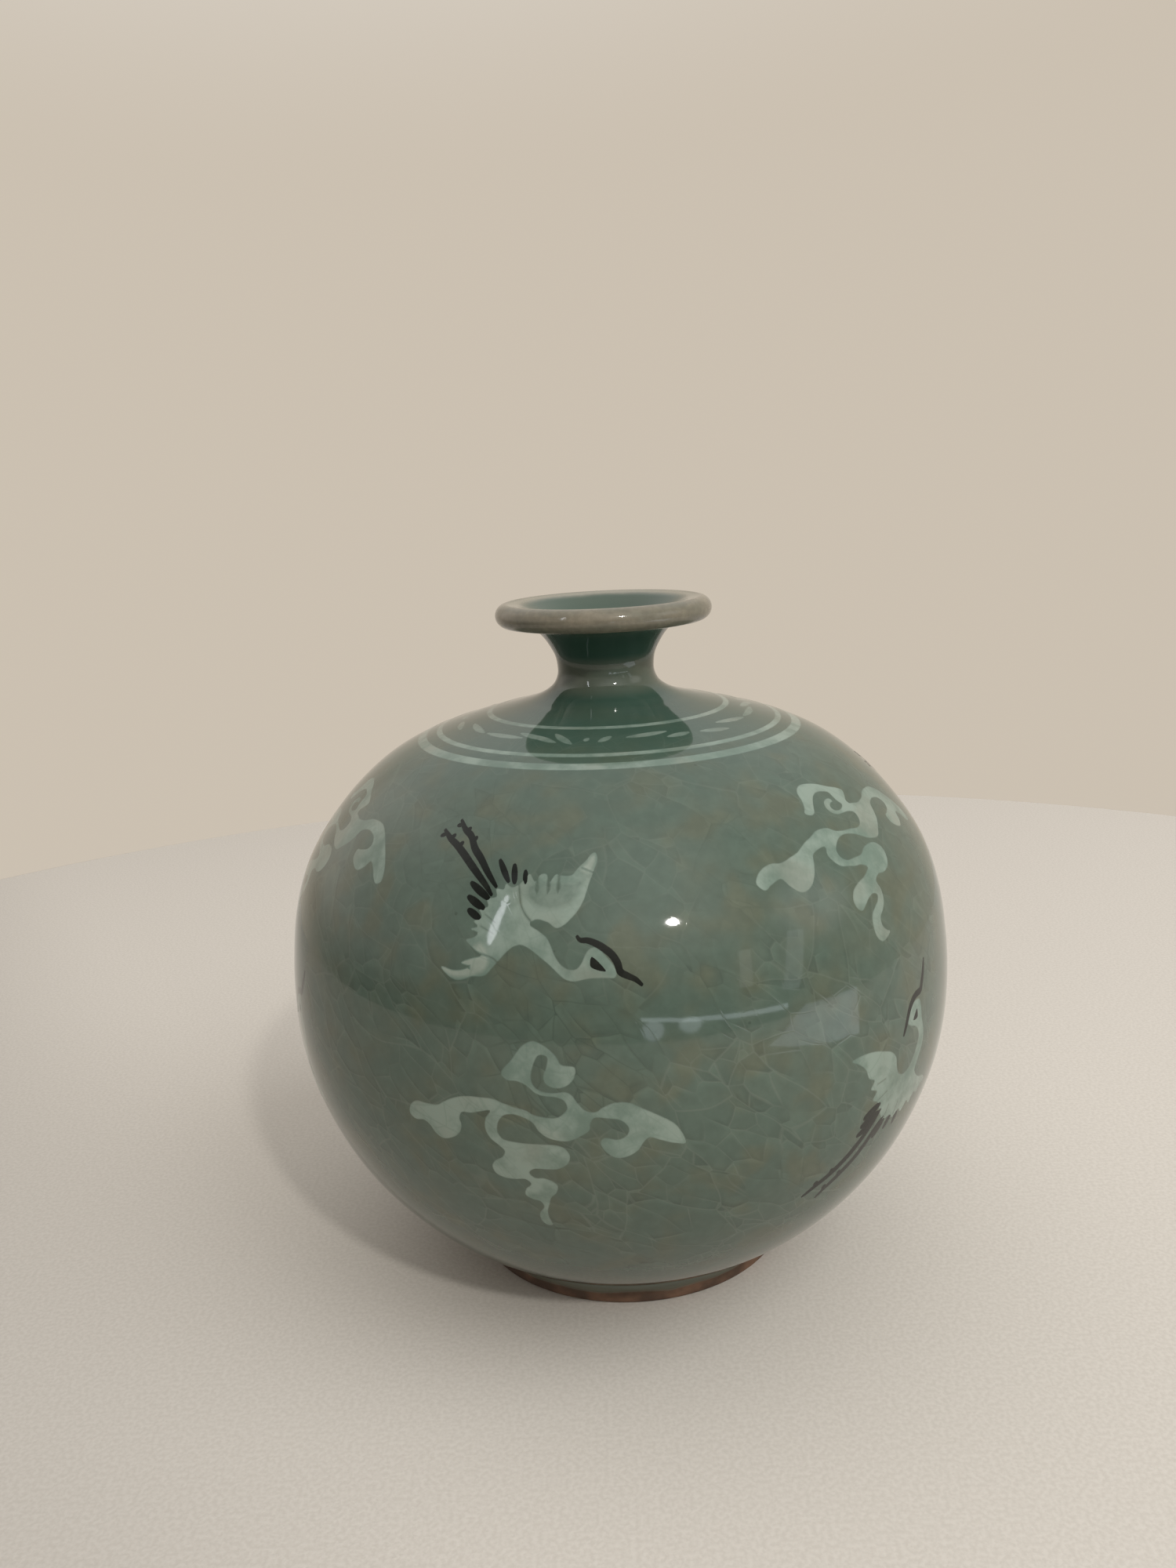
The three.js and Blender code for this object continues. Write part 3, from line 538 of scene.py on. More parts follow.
def outline_at(way):
    """Radius and height of the skin at a way along its outline."""
    return np.array([np.interp(way, WAYS, SKIN[:, 0]), np.interp(way, WAYS, SKIN[:, 1])])


def slope_at(way, reach):
    """How far the outline runs outwards and upwards at a way, for a length of one."""
    run = outline_at(way + reach) - outline_at(way - reach)
    return run / np.linalg.norm(run, axis=0)


def turned(radius, angle, height):
    """Points at a radius, an angle from the front towards +X, and a height."""
    x, y = radius * np.sin(angle), -radius * np.cos(angle)
    return np.stack(np.broadcast_arrays(x, y, height), axis=-1)


def skin(angle, way, off=0.0):
    """Points of the visible surface, at an angle round it and a way along its outline."""
    radius, height = outline_at(way)
    across, up = slope_at(way, SLOPE_REACH)
    waves = sum(h * np.sin(n * angle + k * way + phase) for n, k, phase, h in WAVES)
    out = off + smoothstep(radius, INSET_FROM_R, INSET_FULL_R) * (waves - INSET)
    return turned(radius + up * out, angle, height - across * out) * MM


def skin_normal(angle, way):
    """Normals of the visible surface, from its slopes round and along."""
    round_it = skin(angle + NORMAL_TURN, way) - skin(angle - NORMAL_TURN, way)
    along = skin(angle, way + NORMAL_REACH) - skin(angle, way - NORMAL_REACH)
    return unit(np.cross(round_it, along))


def make_piece(name, vertices, faces, normals, material, nodes, cover=None):
    """A mesh object with its own corner normals, riding on the body."""
    mesh = bpy.data.meshes.new(name)
    mesh.from_pydata(vertices, [], faces)
    mesh.polygons.foreach_set("use_smooth", [True] * len(faces))
    if cover is not None:
        mesh.attributes.new("cover", "FLOAT", "POINT").data.foreach_set("value", cover)
    mesh.normals_split_custom_set(normals)
    mesh.materials.append(material)
    piece = bpy.data.objects.new(name, mesh)
    bpy.context.scene.collection.objects.link(piece)
    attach(piece, BODY)
    if nodes:
        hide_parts(*nodes)


def skin_rows(start, end, step):
    """Rows of the visible surface between two ways, with their normals."""
    count = max(int(round(abs(end - start) / step)), 2) + 1
    angle, way = np.meshgrid(ANGLES, np.linspace(start, end, count))
    return skin(angle, way), skin_normal(angle, way)


def plain_rows(points):
    """Rows turned from plain radius and height points, with their normals."""
    points = np.array(points, float)
    across, up = unit(np.gradient(points, axis=0)).T[:, :, None]
    rows = turned(points[:, :1], ANGLES, points[:, 1:]) * MM
    return rows, turned(up, ANGLES, -across)


def lathe(name, sections, material, nodes, closed=True):
    """A turned solid from smooth sections, each starting on the last row of the one before.

    A section is two ways on the skin and a step, or a list of radius and height points. A
    closed solid ends on the row that it started from, and another ends on the axis.
    """
    sections = [skin_rows(*section) if isinstance(section, tuple) else plain_rows(section)
                for section in sections]
    vertices, faces, normals = [], [], []

    def add_row(row):
        start = len(vertices)
        if np.abs(row[:, :2]).max() < TINY:
            vertices.append(row[0])
            return np.full(SEGMENTS, start)
        vertices.extend(row)
        return np.arange(start, start + SEGMENTS)

    first = here = add_row(sections[0][0][0])
    for k, (rows, slopes) in enumerate(sections):
        for i in range(1, len(rows)):
            at_end = k == len(sections) - 1 and i == len(rows) - 1
            after = first if closed and at_end else add_row(rows[i])
            for j in range(SEGMENTS):
                n = (j + 1) % SEGMENTS
                corners = {}
                around = (here, i - 1, j), (here, i - 1, n), (after, i, n), (after, i, j)
                for ids, row, column in around:
                    corners.setdefault(int(ids[column]), slopes[row][column])
                faces.append(list(corners))
                normals.extend(corners.values())
            here = after
    make_piece(name, vertices, faces, normals, material, nodes)


def distance_to(points, line, closed=True):
    """Distance from each point to a line of points."""
    starts = line if closed else line[:-1]
    along = np.roll(line, -1, axis=0)[: len(starts)] - starts
    offset = points[:, None, :] - starts[None, :, :]
    t = np.clip((offset * along).sum(-1) / np.maximum((along**2).sum(-1), TINY), 0, 1)
    return np.linalg.norm(offset - t[..., None] * along, axis=-1).min(axis=1)


def is_inside(points, outline):
    """Whether each point lies inside a closed outline."""
    x, y = points[:, :1], points[:, 1:]
    (x0, y0), (x1, y1) = outline.T, np.roll(outline, -1, axis=0).T
    rise = np.where(y1 == y0, TINY, y1 - y0)
    crossed = ((y0 > y) != (y1 > y)) & (x < (x1 - x0) * (y - y0) / rise + x0)
    return crossed.sum(axis=1) % 2 == 1


def grown(outline, amount):
    """A closed outline moved outwards, whichever way round it runs."""
    along = np.roll(outline, -1, axis=0) - np.roll(outline, 1, axis=0)
    x, y = outline.T
    turn = np.sign((x * np.roll(y, -1) - np.roll(x, -1) * y).sum())
    return outline - amount * turn * sideways(along)


def inner_points(rim, soft, seams, veils):
    """Points inside a rim: where its soft edge ends, a grid, and along seams and veils."""
    ring = grown(rim, -soft)
    ring = ring[distance_to(ring, rim) > soft * RING_CLEAR]
    low, high = rim.min(axis=0), rim.max(axis=0)
    columns, rows = (np.arange(low[k], high[k], GRID_STEP) for k in range(2))
    grid = np.stack(np.meshgrid(columns, rows), axis=-1).reshape(-1, 2)
    grid = grid[distance_to(grid, rim) > soft * GRID_CLEAR]
    extra = []
    for line, width, _ in seams:
        side = width * sideways(np.gradient(line, axis=0))
        extra += [line, line + side, line - side]
    for line, _ in veils:
        extra += [line, grown(line, -VEIL_EDGE)]
    if extra:
        extra = np.vstack(extra)
        extra = extra[distance_to(extra, rim) > soft * EXTRA_CLEAR]
        to_extra = np.linalg.norm(grid[:, None] - extra[None], axis=-1).min(axis=1)
        grid = np.vstack([grid[to_extra > GRID_GAP], extra])
    return np.vstack([ring, grid])


def clay_cover(flat, rim, soft, seams, veils):
    """Share of the clay at each point: less at the rim, along seams and inside veils."""
    cover = smoothstep(distance_to(flat, rim), 0, soft)
    for line, width, share in seams:
        cover *= 1 - share * (1 - smoothstep(distance_to(flat, line, closed=False), 0, width))
    for line, share in veils:
        depth = is_inside(flat, line) * distance_to(flat, line)
        cover *= 1 - share * smoothstep(depth, 0, VEIL_EDGE)
    return cover


def flat_patch(outline, soft=SOFT_EDGE, step=RIM_STEP, seams=(), veils=()):
    """Triangles that fill a closed outline, and how far each point is covered by the clay."""
    rim = grown(spaced(outline, step, closed=True), soft / 2)
    seams = [(spaced(line, step), width, share) for line, width, share in seams]
    veils = [(spaced(line, step, closed=True), share) for line, share in veils]
    points = [tuple(p) for p in np.vstack([rim, inner_points(rim, soft, seams, veils)])]
    edges = [(i, (i + 1) % len(rim)) for i in range(len(rim))]
    found, _, faces = delaunay_2d_cdt(points, edges, [], 1, MERGE_GAP)[:3]
    used = sorted({i for face in faces for i in face})
    place = {old: new for new, old in enumerate(used)}
    flat = np.array([tuple(found[i]) for i in used])
    triangles = [[place[i] for i in face] for face in faces]
    return flat, triangles, clay_cover(flat, rim, soft, seams, veils)


def joined(patches):
    """Several flat patches as one."""
    flats, triangles, covers, start = [], [], [], 0
    for flat, faces, cover in patches:
        flats.append(flat)
        covers.append(cover)
        triangles += [[i + start for i in face] for face in faces]
        start += len(flat)
    return np.vstack(flats), triangles, np.concatenate(covers)


def inlay(name, patch, clay, nodes, shift=0.0):
    """A thin closed inlay that follows the wall, from a flat patch on the unrolled wall."""
    flat, triangles, cover = patch
    material, up, slot = clay
    angle = (flat[:, 0] + shift) / GIRTH_R
    way = flat[:, 1] + GIRTH_WAY
    top = skin(angle, way, RIM_DOWN + (up - RIM_DOWN) * np.minimum(cover * COVER_RISE, 1))
    under = skin(angle, way, -INLAY_DEPTH)
    out = skin_normal(angle, way)
    count = len(flat)
    edges = [pair for face in triangles for pair in zip(face, face[1:] + face[:1])]
    known = set(edges)
    sides = [[b, a, a + count, b + count] for a, b in edges if (b, a) not in known]
    faces = triangles + [[i + count for i in reversed(face)] for face in triangles] + sides
    both = np.vstack([out, -out])
    normals = [both[i] for face in faces for i in face]
    vertices, cover = np.vstack([top, under]), np.concatenate([cover, cover])
    make_piece(name, vertices, faces, normals, material, nodes, cover)


def brushed(line, width, blunt=STROKE_BLUNT):
    """Outline of a brush stroke with round, tapered ends."""
    centre = spaced(line, STROKE_STEP)
    s = np.linspace(STROKE_END, 1 - STROKE_END, len(centre))
    half = (width / 2 * np.sin(math.pi * s) ** blunt)[:, None]
    side = half * sideways(np.gradient(centre, axis=0))
    return np.vstack([centre + side, (centre - side)[::-1]])


def strokes_patch(strokes):
    """One flat patch for several brush strokes."""
    return joined([flat_patch(brushed(line, width), STROKE_SOFT, SMALL_RIM_STEP)
                   for line, width in strokes])


class Tree:
    """A node tree. Its calls return sockets."""

    def __init__(self, owner):
        owner.use_nodes = True
        self.owner = owner
        self.tree = owner.node_tree
        self.tree.nodes.clear()

    def add(self, kind, inputs=None, **settings):
        node = self.tree.nodes.new(kind)
        for key, value in settings.items():
            setattr(node, key, value)
        for key, value in (inputs or {}).items():
            if isinstance(value, bpy.types.NodeSocket):
                self.tree.links.new(value, node.inputs[key])
            elif value is not None:
                node.inputs[key].default_value = value
        return node

    def math(self, operation, a, b=None, c=None):
        return self.add("ShaderNodeMath", {0: a, 1: b, 2: c}, operation=operation).outputs[0]

    def times(self, a, b):
        return self.math("MULTIPLY", a, b)

    def vector(self, operation, a, b=None, c=None, output=0):
        node = self.add("ShaderNodeVectorMath", {0: a, 1: b, 2: c}, operation=operation)
        return node.outputs[output]

    def along(self, vector, direction):
        return self.vector("DOT_PRODUCT", vector, direction, output="Value")

    def mix(self, factor, a, b, blend="MIX"):
        inputs = {0: factor, 6: a, 7: b}
        return self.add("ShaderNodeMix", inputs, data_type="RGBA", blend_type=blend).outputs[2]

    def step(self, value, low, high, start=0.0, end=1.0):
        inputs = {0: value, 1: low, 2: high, 3: start, 4: end}
        return self.add("ShaderNodeMapRange", inputs, interpolation_type="SMOOTHSTEP").outputs[0]

    def noise(self, vector, scale, detail=2.0, roughness=0.5):
        inputs = {"Vector": vector, "Scale": scale, "Detail": detail, "Roughness": roughness}
        return self.add("ShaderNodeTexNoise", inputs).outputs

    def voronoi(self, vector, scale, feature="F1"):
        inputs = {"Vector": vector, "Scale": scale}
        return self.add("ShaderNodeTexVoronoi", inputs, feature=feature).outputs


class Finish(Tree):
    """The node tree of one material, with its place on the vase."""

    def __init__(self, name):
        super().__init__(bpy.data.materials.new(name))
        self.place = self.add("ShaderNodeTexCoord").outputs["Object"]
        x, y, self.z = self.add("ShaderNodeSeparateXYZ", {"Vector": self.place}).outputs
        self.radius = self.math("SQRT", self.math("ADD", self.times(x, x), self.times(y, y)))

    def grain(self, scale, detail=2.0, roughness=0.5):
        """Noise with a scale per metre, 0 to 1."""
        return self.noise(self.place, scale, detail, roughness)[0]

    def cover(self):
        """Share of the inlaid clay, kept at each point of its mesh."""
        return self.add("ShaderNodeAttribute", attribute_name="cover").outputs["Fac"]

    def brightened(self, color, amount):
        """A colour times an amount that varies over the surface."""
        factor = self.add("ShaderNodeCombineColor", {0: amount, 1: amount, 2: amount}).outputs[0]
        return self.mix(1.0, color, factor, "MULTIPLY")

    def bump(self, height, strength, distance, normal=None):
        """A normal that follows a height."""
        inputs = {"Height": height, "Strength": strength, "Distance": distance, "Normal": normal}
        return self.add("ShaderNodeBump", inputs).outputs[0]

    def shaded(self, color, normal, roughness=GLAZE_ROUGHNESS, ior=GLAZE_IOR):
        """The finished material."""
        inputs = {"Base Color": color, "Roughness": roughness, "Normal": normal, "IOR": ior}
        shader = self.add("ShaderNodeBsdfPrincipled", inputs)
        self.add("ShaderNodeOutputMaterial", {"Surface": shader.outputs[0]})
        return self.owner


def crackle(t):
    """Lines of the crackle, painted light and shade beside each line as if lit from one side, and a
    faint tint for each cell.
    """
    bend = t.vector("SUBTRACT", t.noise(t.place, 60.0, 1.5)[1], (0.5, 0.5, 0.5))
    bent = t.vector("MULTIPLY_ADD", bend, (CRACK_WARP, CRACK_WARP, CRACK_WARP), t.place)
    inputs = {"Vector": bent, "Angle": t.times(t.z, CRACK_TWIST)}
    twisted = t.add("ShaderNodeVectorRotate", inputs, rotation_type="Z_AXIS").outputs[0]
    leaned = t.vector("MULTIPLY", twisted, (1.0, 1.0, CRACK_FLATTEN))
    large, small = 1 / CRACK_LARGE, 1 / CRACK_SMALL
    inside = t.vector("MULTIPLY_ADD", t.voronoi(leaned, large)[1], (0.3, 0.3, 0.3), leaned)
    to_large = t.voronoi(leaned, large, "DISTANCE_TO_EDGE")[0]
    to_small = t.voronoi(inside, small, "DISTANCE_TO_EDGE")[0]
    shows = t.step(t.grain(110.0), 0.36, 0.60, 0.05, 0.9)

    def bands(width):
        wide = t.step(to_large, 0.25 * width * large, width * large, 0.9, 0.0)
        fine = t.step(to_small, 0.25 * width * small, width * small, 1.0, 0.0)
        return t.math("MAXIMUM", wide, t.times(fine, shows))

    cell = t.voronoi(inside, small)
    tint = t.add("ShaderNodeSeparateColor", {0: cell[1]}).outputs[0]
    local = t.vector("SUBTRACT", inside, cell[2])
    # Painted light and shade: each cell is lighter on its side towards CRACK_LIT_FROM and darker on
    # the other
    painted_light_slope = t.along(local, [small * share for share in CRACK_LIT_FROM])
    calm = t.times(t.step(t.radius, *CALM_R), t.step(t.z, *CALM_Z, 1.0, 0.6))
    shade = t.times(t.times(bands(CRACK_SHADE), painted_light_slope), calm)
    return t.times(bands(CRACK_LINE), calm), tint, shade


def pooled_glaze_and_shade(t):
    """How far the glaze has pooled on the shoulder and under the lip, and run off the waist; under the
    lip this is also painted shade, and on the shoulder a painted dark reflection of the neck.
    """
    neck = t.step(t.radius, *POOL_SHADE_NECK_R, 1.0, 0.0)
    shoulder = t.step(t.radius, *POOL_SHADE_SHOULDER_R, 0.72, 0.0)
    pool_and_shade = t.times(t.math("MAXIMUM", neck, shoulder), t.step(t.z, *POOL_SHADE_Z))
    waist = t.times(t.step(t.z, *WAIST_LOW_Z), t.step(t.z, *WAIST_HIGH_Z, 1.0, 0.0))
    waist = t.times(waist, pool_and_shade)
    return t.math("SUBTRACT", pool_and_shade, t.times(waist, 0.66)), waist


def glaze(t):
    """Colour of the celadon glaze over the grey body, its surface and its crackle lines."""
    line, tint, shade = crackle(t)
    drift = t.step(t.grain(24.0), 0.35, 0.65, 0.0, 0.7)
    color = t.mix(drift, GLAZE_OPEN, GLAZE_TEAL)
    hue = t.math("MULTIPLY_ADD", tint, 0.03, t.grain(150.0, 1.0))
    color = t.mix(t.step(hue, 0.50, 0.72, 0.0, 0.8), color, GLAZE_OLIVE)
    color = t.mix(t.step(hue, 0.33, 0.53, 0.8, 0.0), color, GLAZE_TEAL)
    cloudy = t.step(t.grain(420.0, 3.0, 0.6), 0.3, 0.75, 0.92, 1.06)
    # Darker towards the bottom
    darker_below = t.step(t.z, *DARKER_BELOW_Z, 0.80, 1.0)
    # Painted light and shade beside the crackle lines
    color = t.brightened(color, t.times(t.math("MULTIPLY_ADD", shade, 0.17, cloudy), darker_below))
    # A pale band in the crease above the foot: milky pooled glaze and a painted highlight
    color = t.mix(t.step(t.z, *MILKY_HIGHLIGHT_Z, 0.8, 0.0), color, GLAZE_MILKY_HIGHLIGHT)
    pooled_and_shade, waist = pooled_glaze_and_shade(t)
    # Darker green where the glaze pools, with painted shade under the lip and a painted dark
    # reflection of the neck on the shoulder
    color = t.mix(pooled_and_shade, color, GLAZE_DARK_GREEN)
    color = t.mix(t.times(waist, 0.3), color, LIP_THICK)
    line_color = t.mix(t.step(t.grain(38.0, 1.0), 0.36, 0.50), CRACK_DARK, CRACK_PALE)
    color = t.mix(t.times(line, 0.35), color, line_color)
    speck = t.step(t.voronoi(t.place, 95.0)[0], 0.018, 0.034, 0.6, 0.0)
    color = t.mix(speck, color, CRACK_DARK)
    height = t.math("MULTIPLY_ADD", line, -0.15, t.grain(130.0))
    return color, t.bump(height, 0.35, 0.00006), line


def glaze_material():
    t = Finish("celadon_glaze")
    color, normal, _ = glaze(t)
    return t.shaded(color, normal)


def white_material():
    """Pale clay under the glaze, which shows through where the clay is thin."""
    t = Finish("white_slip")
    color, normal, line = glaze(t)
    cover = t.cover()
    mottle = t.grain(230.0, 4.0, 0.6)
    fullness = t.math("ADD", mottle, t.grain(80.0, 1.0))
    clay = t.mix(t.step(fullness, 0.75, 1.2), WHITE_THIN, WHITE_FULL)
    clay = t.mix(t.step(t.grain(120.0, 1.0), 0.5, 0.75, 0.0, 0.6), clay, WHITE_WARM)
    clay = t.mix(t.step(cover, 1.0, 1.5, 0.0, 0.8), clay, WHITE_THICK)
    clay = t.mix(t.times(line, 0.35), clay, WHITE_THIN)
    edge = t.step(t.math("MULTIPLY_ADD", t.grain(900.0), 0.5, cover), 0.35, 1.0)
    uneven = t.times(t.step(mottle, 0.25, 0.6, 0.75, 1.0), t.math("MINIMUM", cover, 1.0))
    return t.shaded(t.mix(t.times(edge, uneven), color, clay), normal)


def black_material():
    """Dark clay under the glaze, thinner here and there."""
    t = Finish("black_slip")
    color, normal, _ = glaze(t)
    clay = t.mix(t.step(t.grain(500.0, 3.0, 0.6), 0.5, 0.75), BLACK_SLIP, BLACK_THIN)
    edge = t.step(t.math("MULTIPLY_ADD", t.grain(900.0), 0.3, t.cover()), 0.15, 0.75)
    return t.shaded(t.mix(edge, color, clay), normal)


def lip_material():
    """Thin grey-brown glaze outside the rolled lip, and green glaze in the mouth, with a pale band on
    the inner crest that is thin glaze and a painted highlight.
    """
    t = Finish("lip_glaze")
    green, normal, _ = glaze(t)
    streak = t.noise(t.vector("MULTIPLY", t.place, (1.0, 1.0, 4.0)), 120.0, 3.0)[0]
    thin = t.mix(t.step(streak, 0.3, 0.7), LIP_THICK, LIP_THIN)
    thin = t.brightened(thin, t.step(t.grain(900.0, 3.0, 0.6), 0.3, 0.75, 0.88, 1.08))
    edge = t.math("ADD", t.radius, t.times(t.grain(160.0), LIP_UNEVEN))
    above = t.step(t.z, *LIP_TOP_Z)
    # Pale band on the inner crest: thin glaze and a painted highlight
    thin_crest_and_highlight = t.times(t.step(edge, *CREST_HIGHLIGHT_FROM_R), t.step(edge, *CREST_HIGHLIGHT_TO_R, 0.6, 0.0))
    thin = t.mix(t.times(thin_crest_and_highlight, above), thin, LIP_THIN_CREST_HIGHLIGHT)
    below = t.math("SUBTRACT", 1.0, above)
    inside = t.step(t.math("MULTIPLY_ADD", below, -GREEN_WIDER, edge), *MOUTH_GREEN_R, 1.0, 0.0)
    deep = t.mix(0.22, t.mix(0.6, green, GLAZE_DARK_GREEN), LIP_THICK)
    return t.shaded(t.mix(inside, thin, deep), normal, LIP_ROUGHNESS)


def foot_material():
    """Glaze above, bare rust-burnt clay where the foot stands, with an uneven edge."""
    t = Finish("foot_clay")
    green, normal, _ = glaze(t)
    grain = t.grain(900.0, 4.0, 0.65)
    rust = t.mix(t.step(t.grain(180.0, 3.0), 0.35, 0.65), RUST_DARK, RUST_PALE)
    rust = t.mix(t.step(grain, 0.5, 0.75, 0.0, 0.5), rust, RUST_DARK)
    level = t.math("SUBTRACT", t.z, t.times(t.grain(110.0, 3.0), FOOT_UNEVEN))
    glazed = t.step(level, *FOOT_BARE_Z)
    # The top of the foot carries the same pale band: milky pooled glaze and a painted highlight
    olive = t.mix(t.step(t.z, *FOOT_OLIVE_Z), FOOT_GLAZE, GLAZE_MILKY_HIGHLIGHT)
    olive = t.mix(0.35, olive, green)
    bump = t.mix(glazed, t.bump(grain, 0.6, 0.0002, normal), normal)
    rough = t.step(glazed, 0.0, 1.0, 0.75, 0.1)
    return t.shaded(t.mix(glazed, rust, olive), bump, rough)


def inner_wall(start, end):
    """Points of the globe's inner face between two ways, from the shoulder to the floor."""
    points = []
    for way in np.arange(start, end, -INNER_STEP):
        radius, height = outline_at(way)
        across, up = slope_at(way, INNER_REACH)
        r, z = radius - up * WALL_T, height + across * WALL_T
        if z > FLOOR_Z and r > SHOULDER_BORE_R + INNER_CLEAR:
            points.append([r, z])
    return points


def build_body(celadon, lip, foot):
    """The four turned sections of the pot, met where they are joined."""
    joint, neck_start, neck_end = (way_up_to(z) for z in (JOINT_Z, NECK_Z, NECK_TOP_Z))
    past_lip = WAYS > WAYS[np.argmax(SKIN[:, 1])]
    mouth_joint = WAYS[np.argmax(past_lip & (SKIN[:, 1] <= MOUTH_JOINT_Z))]
    skin_end = WAYS[-1]
    above_foot, below_neck = joint + FOOT_NEAR, neck_start - NECK_NEAR
    inside = inner_wall(neck_start - INNER_FROM, above_foot)
    recess = [FOOT_IN_R, RECESS_Z]
    bore = [SHOULDER_BORE_R, NECK_Z]
    bore_end = [SHOULDER_BORE_R, inside[0][1] + BORE_ROUND]
    floor_edge = [inside[-1][0] - FLOOR_ROUND, FLOOR_Z]
    lathe("globe_body_glazed", [
        [[0.0, RECESS_Z], [FLAT_R, RECESS_Z], recess],
        [recess, outline_at(joint)],
        (joint, above_foot, FINE_STEP),
        (above_foot, below_neck, ROW_STEP),
        (below_neck, neck_start, 2 * FINE_STEP),
        [outline_at(neck_start), bore],
        [bore, bore_end],
        [bore_end, *inside, floor_edge],
        [floor_edge, [FLAT_R, FLOOR_Z], [0.0, FLOOR_Z]],
    ], celadon, ["globe_body"], closed=False)

    lathe("neck_glazed", [
        (neck_start, neck_end, FINE_STEP),
        [outline_at(neck_end), outline_at(mouth_joint)],
        (mouth_joint, skin_end, FINE_STEP),
        [outline_at(skin_end), outline_at(neck_start)],
    ], celadon, ["neck"])

    lathe("rolled_lip_glazed", [
        (neck_end, mouth_joint, FINEST_STEP),
        [outline_at(mouth_joint), outline_at(neck_end)],
    ], lip, ["rolled_lip"])

    lathe("foot_ring_fired", [
        (0.0, joint, FINEST_STEP),
        [outline_at(joint), recess],
        [recess, FOOT_INSIDE[0]],
        FOOT_INSIDE,
        [FOOT_INSIDE[-1], FOOT_UNDER, outline_at(0.0)],
    ], foot, ["foot_ring"])


def build_ring(name, radius, width, clay):
    """A pale band let into the shoulder, with soft edges."""
    middle = up_to_radius(radius)
    half, soft = width / 2, SOFT_EDGE / 2
    lines = [-half - soft, -half, -half + soft, 0.0, half - soft, half, half + soft]
    cover = [0.0, 0.5, 1.0, 1.0, 1.0, 0.5, 0.0]
    flat = np.array([[angle * GIRTH_R, middle + line] for angle in ANGLES for line in lines])
    count = len(lines)
    quads = []
    for i in range(SEGMENTS):
        a, b = i * count, (i + 1) % SEGMENTS * count
        quads += [[a + k, b + k, b + k + 1, a + k + 1] for k in range(count - 1)]
    patch = flat, quads, np.array(cover * SEGMENTS)
    inlay(name.replace("_inlay", "_slip"), patch, clay, [name])


def build_leaves(clay):
    """Pale brush strokes between the inner and the middle ring."""
    patches = []
    for copy in range(REPEATS):
        for ends in LEAVES:
            turn = copy * math.tau / REPEATS
            line = [[(math.radians(a) + turn) * GIRTH_R, up_to_radius(r)] for a, r in ends]
            squeeze = outline_at(line[0][1] + GIRTH_WAY)[0] / GIRTH_R
            real = [[x * squeeze, y] for x, y in line]
            stroke = brushed(real, LEAF_WIDTH, LEAF_BLUNT)
            flat, faces, cover = flat_patch(stroke, SOFT_EDGE, LEAF_RIM_STEP)
            patches.append((flat / np.array([squeeze, 1.0]), faces, cover * LEAF_COVER))
    inlay("leaf_band_slip", joined(patches), clay, [])


def build_motifs(white, black):
    """Cranes and clouds, each repeated round the globe."""
    for family, (outline, strokes, eye, seams, veils) in MOTIFS.items():
        whole = flat_patch(outline, seams=seams, veils=veils)
        dark = {key: strokes_patch(lines) for key, lines in strokes.items()}
        if eye:
            dark["eye"] = flat_patch(np.array(eye), EYE_SOFT, SMALL_RIM_STEP)
        for copy in range(REPEATS):
            name = f"{family}_{copy + 1}"
            shift = copy * math.tau * GIRTH_R / REPEATS
            inlay(f"{name}_slip", whole, white, [name], shift)
            for key, patch in dark.items():
                node = f"{name}_{key}"
                nodes = [node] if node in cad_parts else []
                inlay(f"{node}_slip", patch, black, nodes, shift)


def build_camera():
    """The camera at the photograph's viewing angle."""
    data = bpy.data.cameras.new("camera")
    data.sensor_width = SENSOR_MM
    data.lens = LENS_MM
    data.clip_start = 0.01
    camera = bpy.data.objects.new("camera", data)
    yaw = Matrix.Rotation(-CAMERA_YAW, 4, "Z")
    pitch = Matrix.Rotation(math.pi / 2 + CAMERA_PITCH, 4, "X")
    roll = Matrix.Rotation(CAMERA_ROLL, 4, "Z")
    camera.matrix_world = Matrix.Translation(CAMERA_PLACE) @ yaw @ pitch @ roll
    bpy.context.scene.collection.objects.link(camera)
    bpy.context.scene.camera = camera


def toward(azimuth, elevation, distance):
    """A point seen from the vase at an azimuth from the front towards +X and an elevation."""
    a, e = math.radians(azimuth), math.radians(elevation)
    return VASE_MIDDLE + distance * turned(math.cos(e), a, math.sin(e))


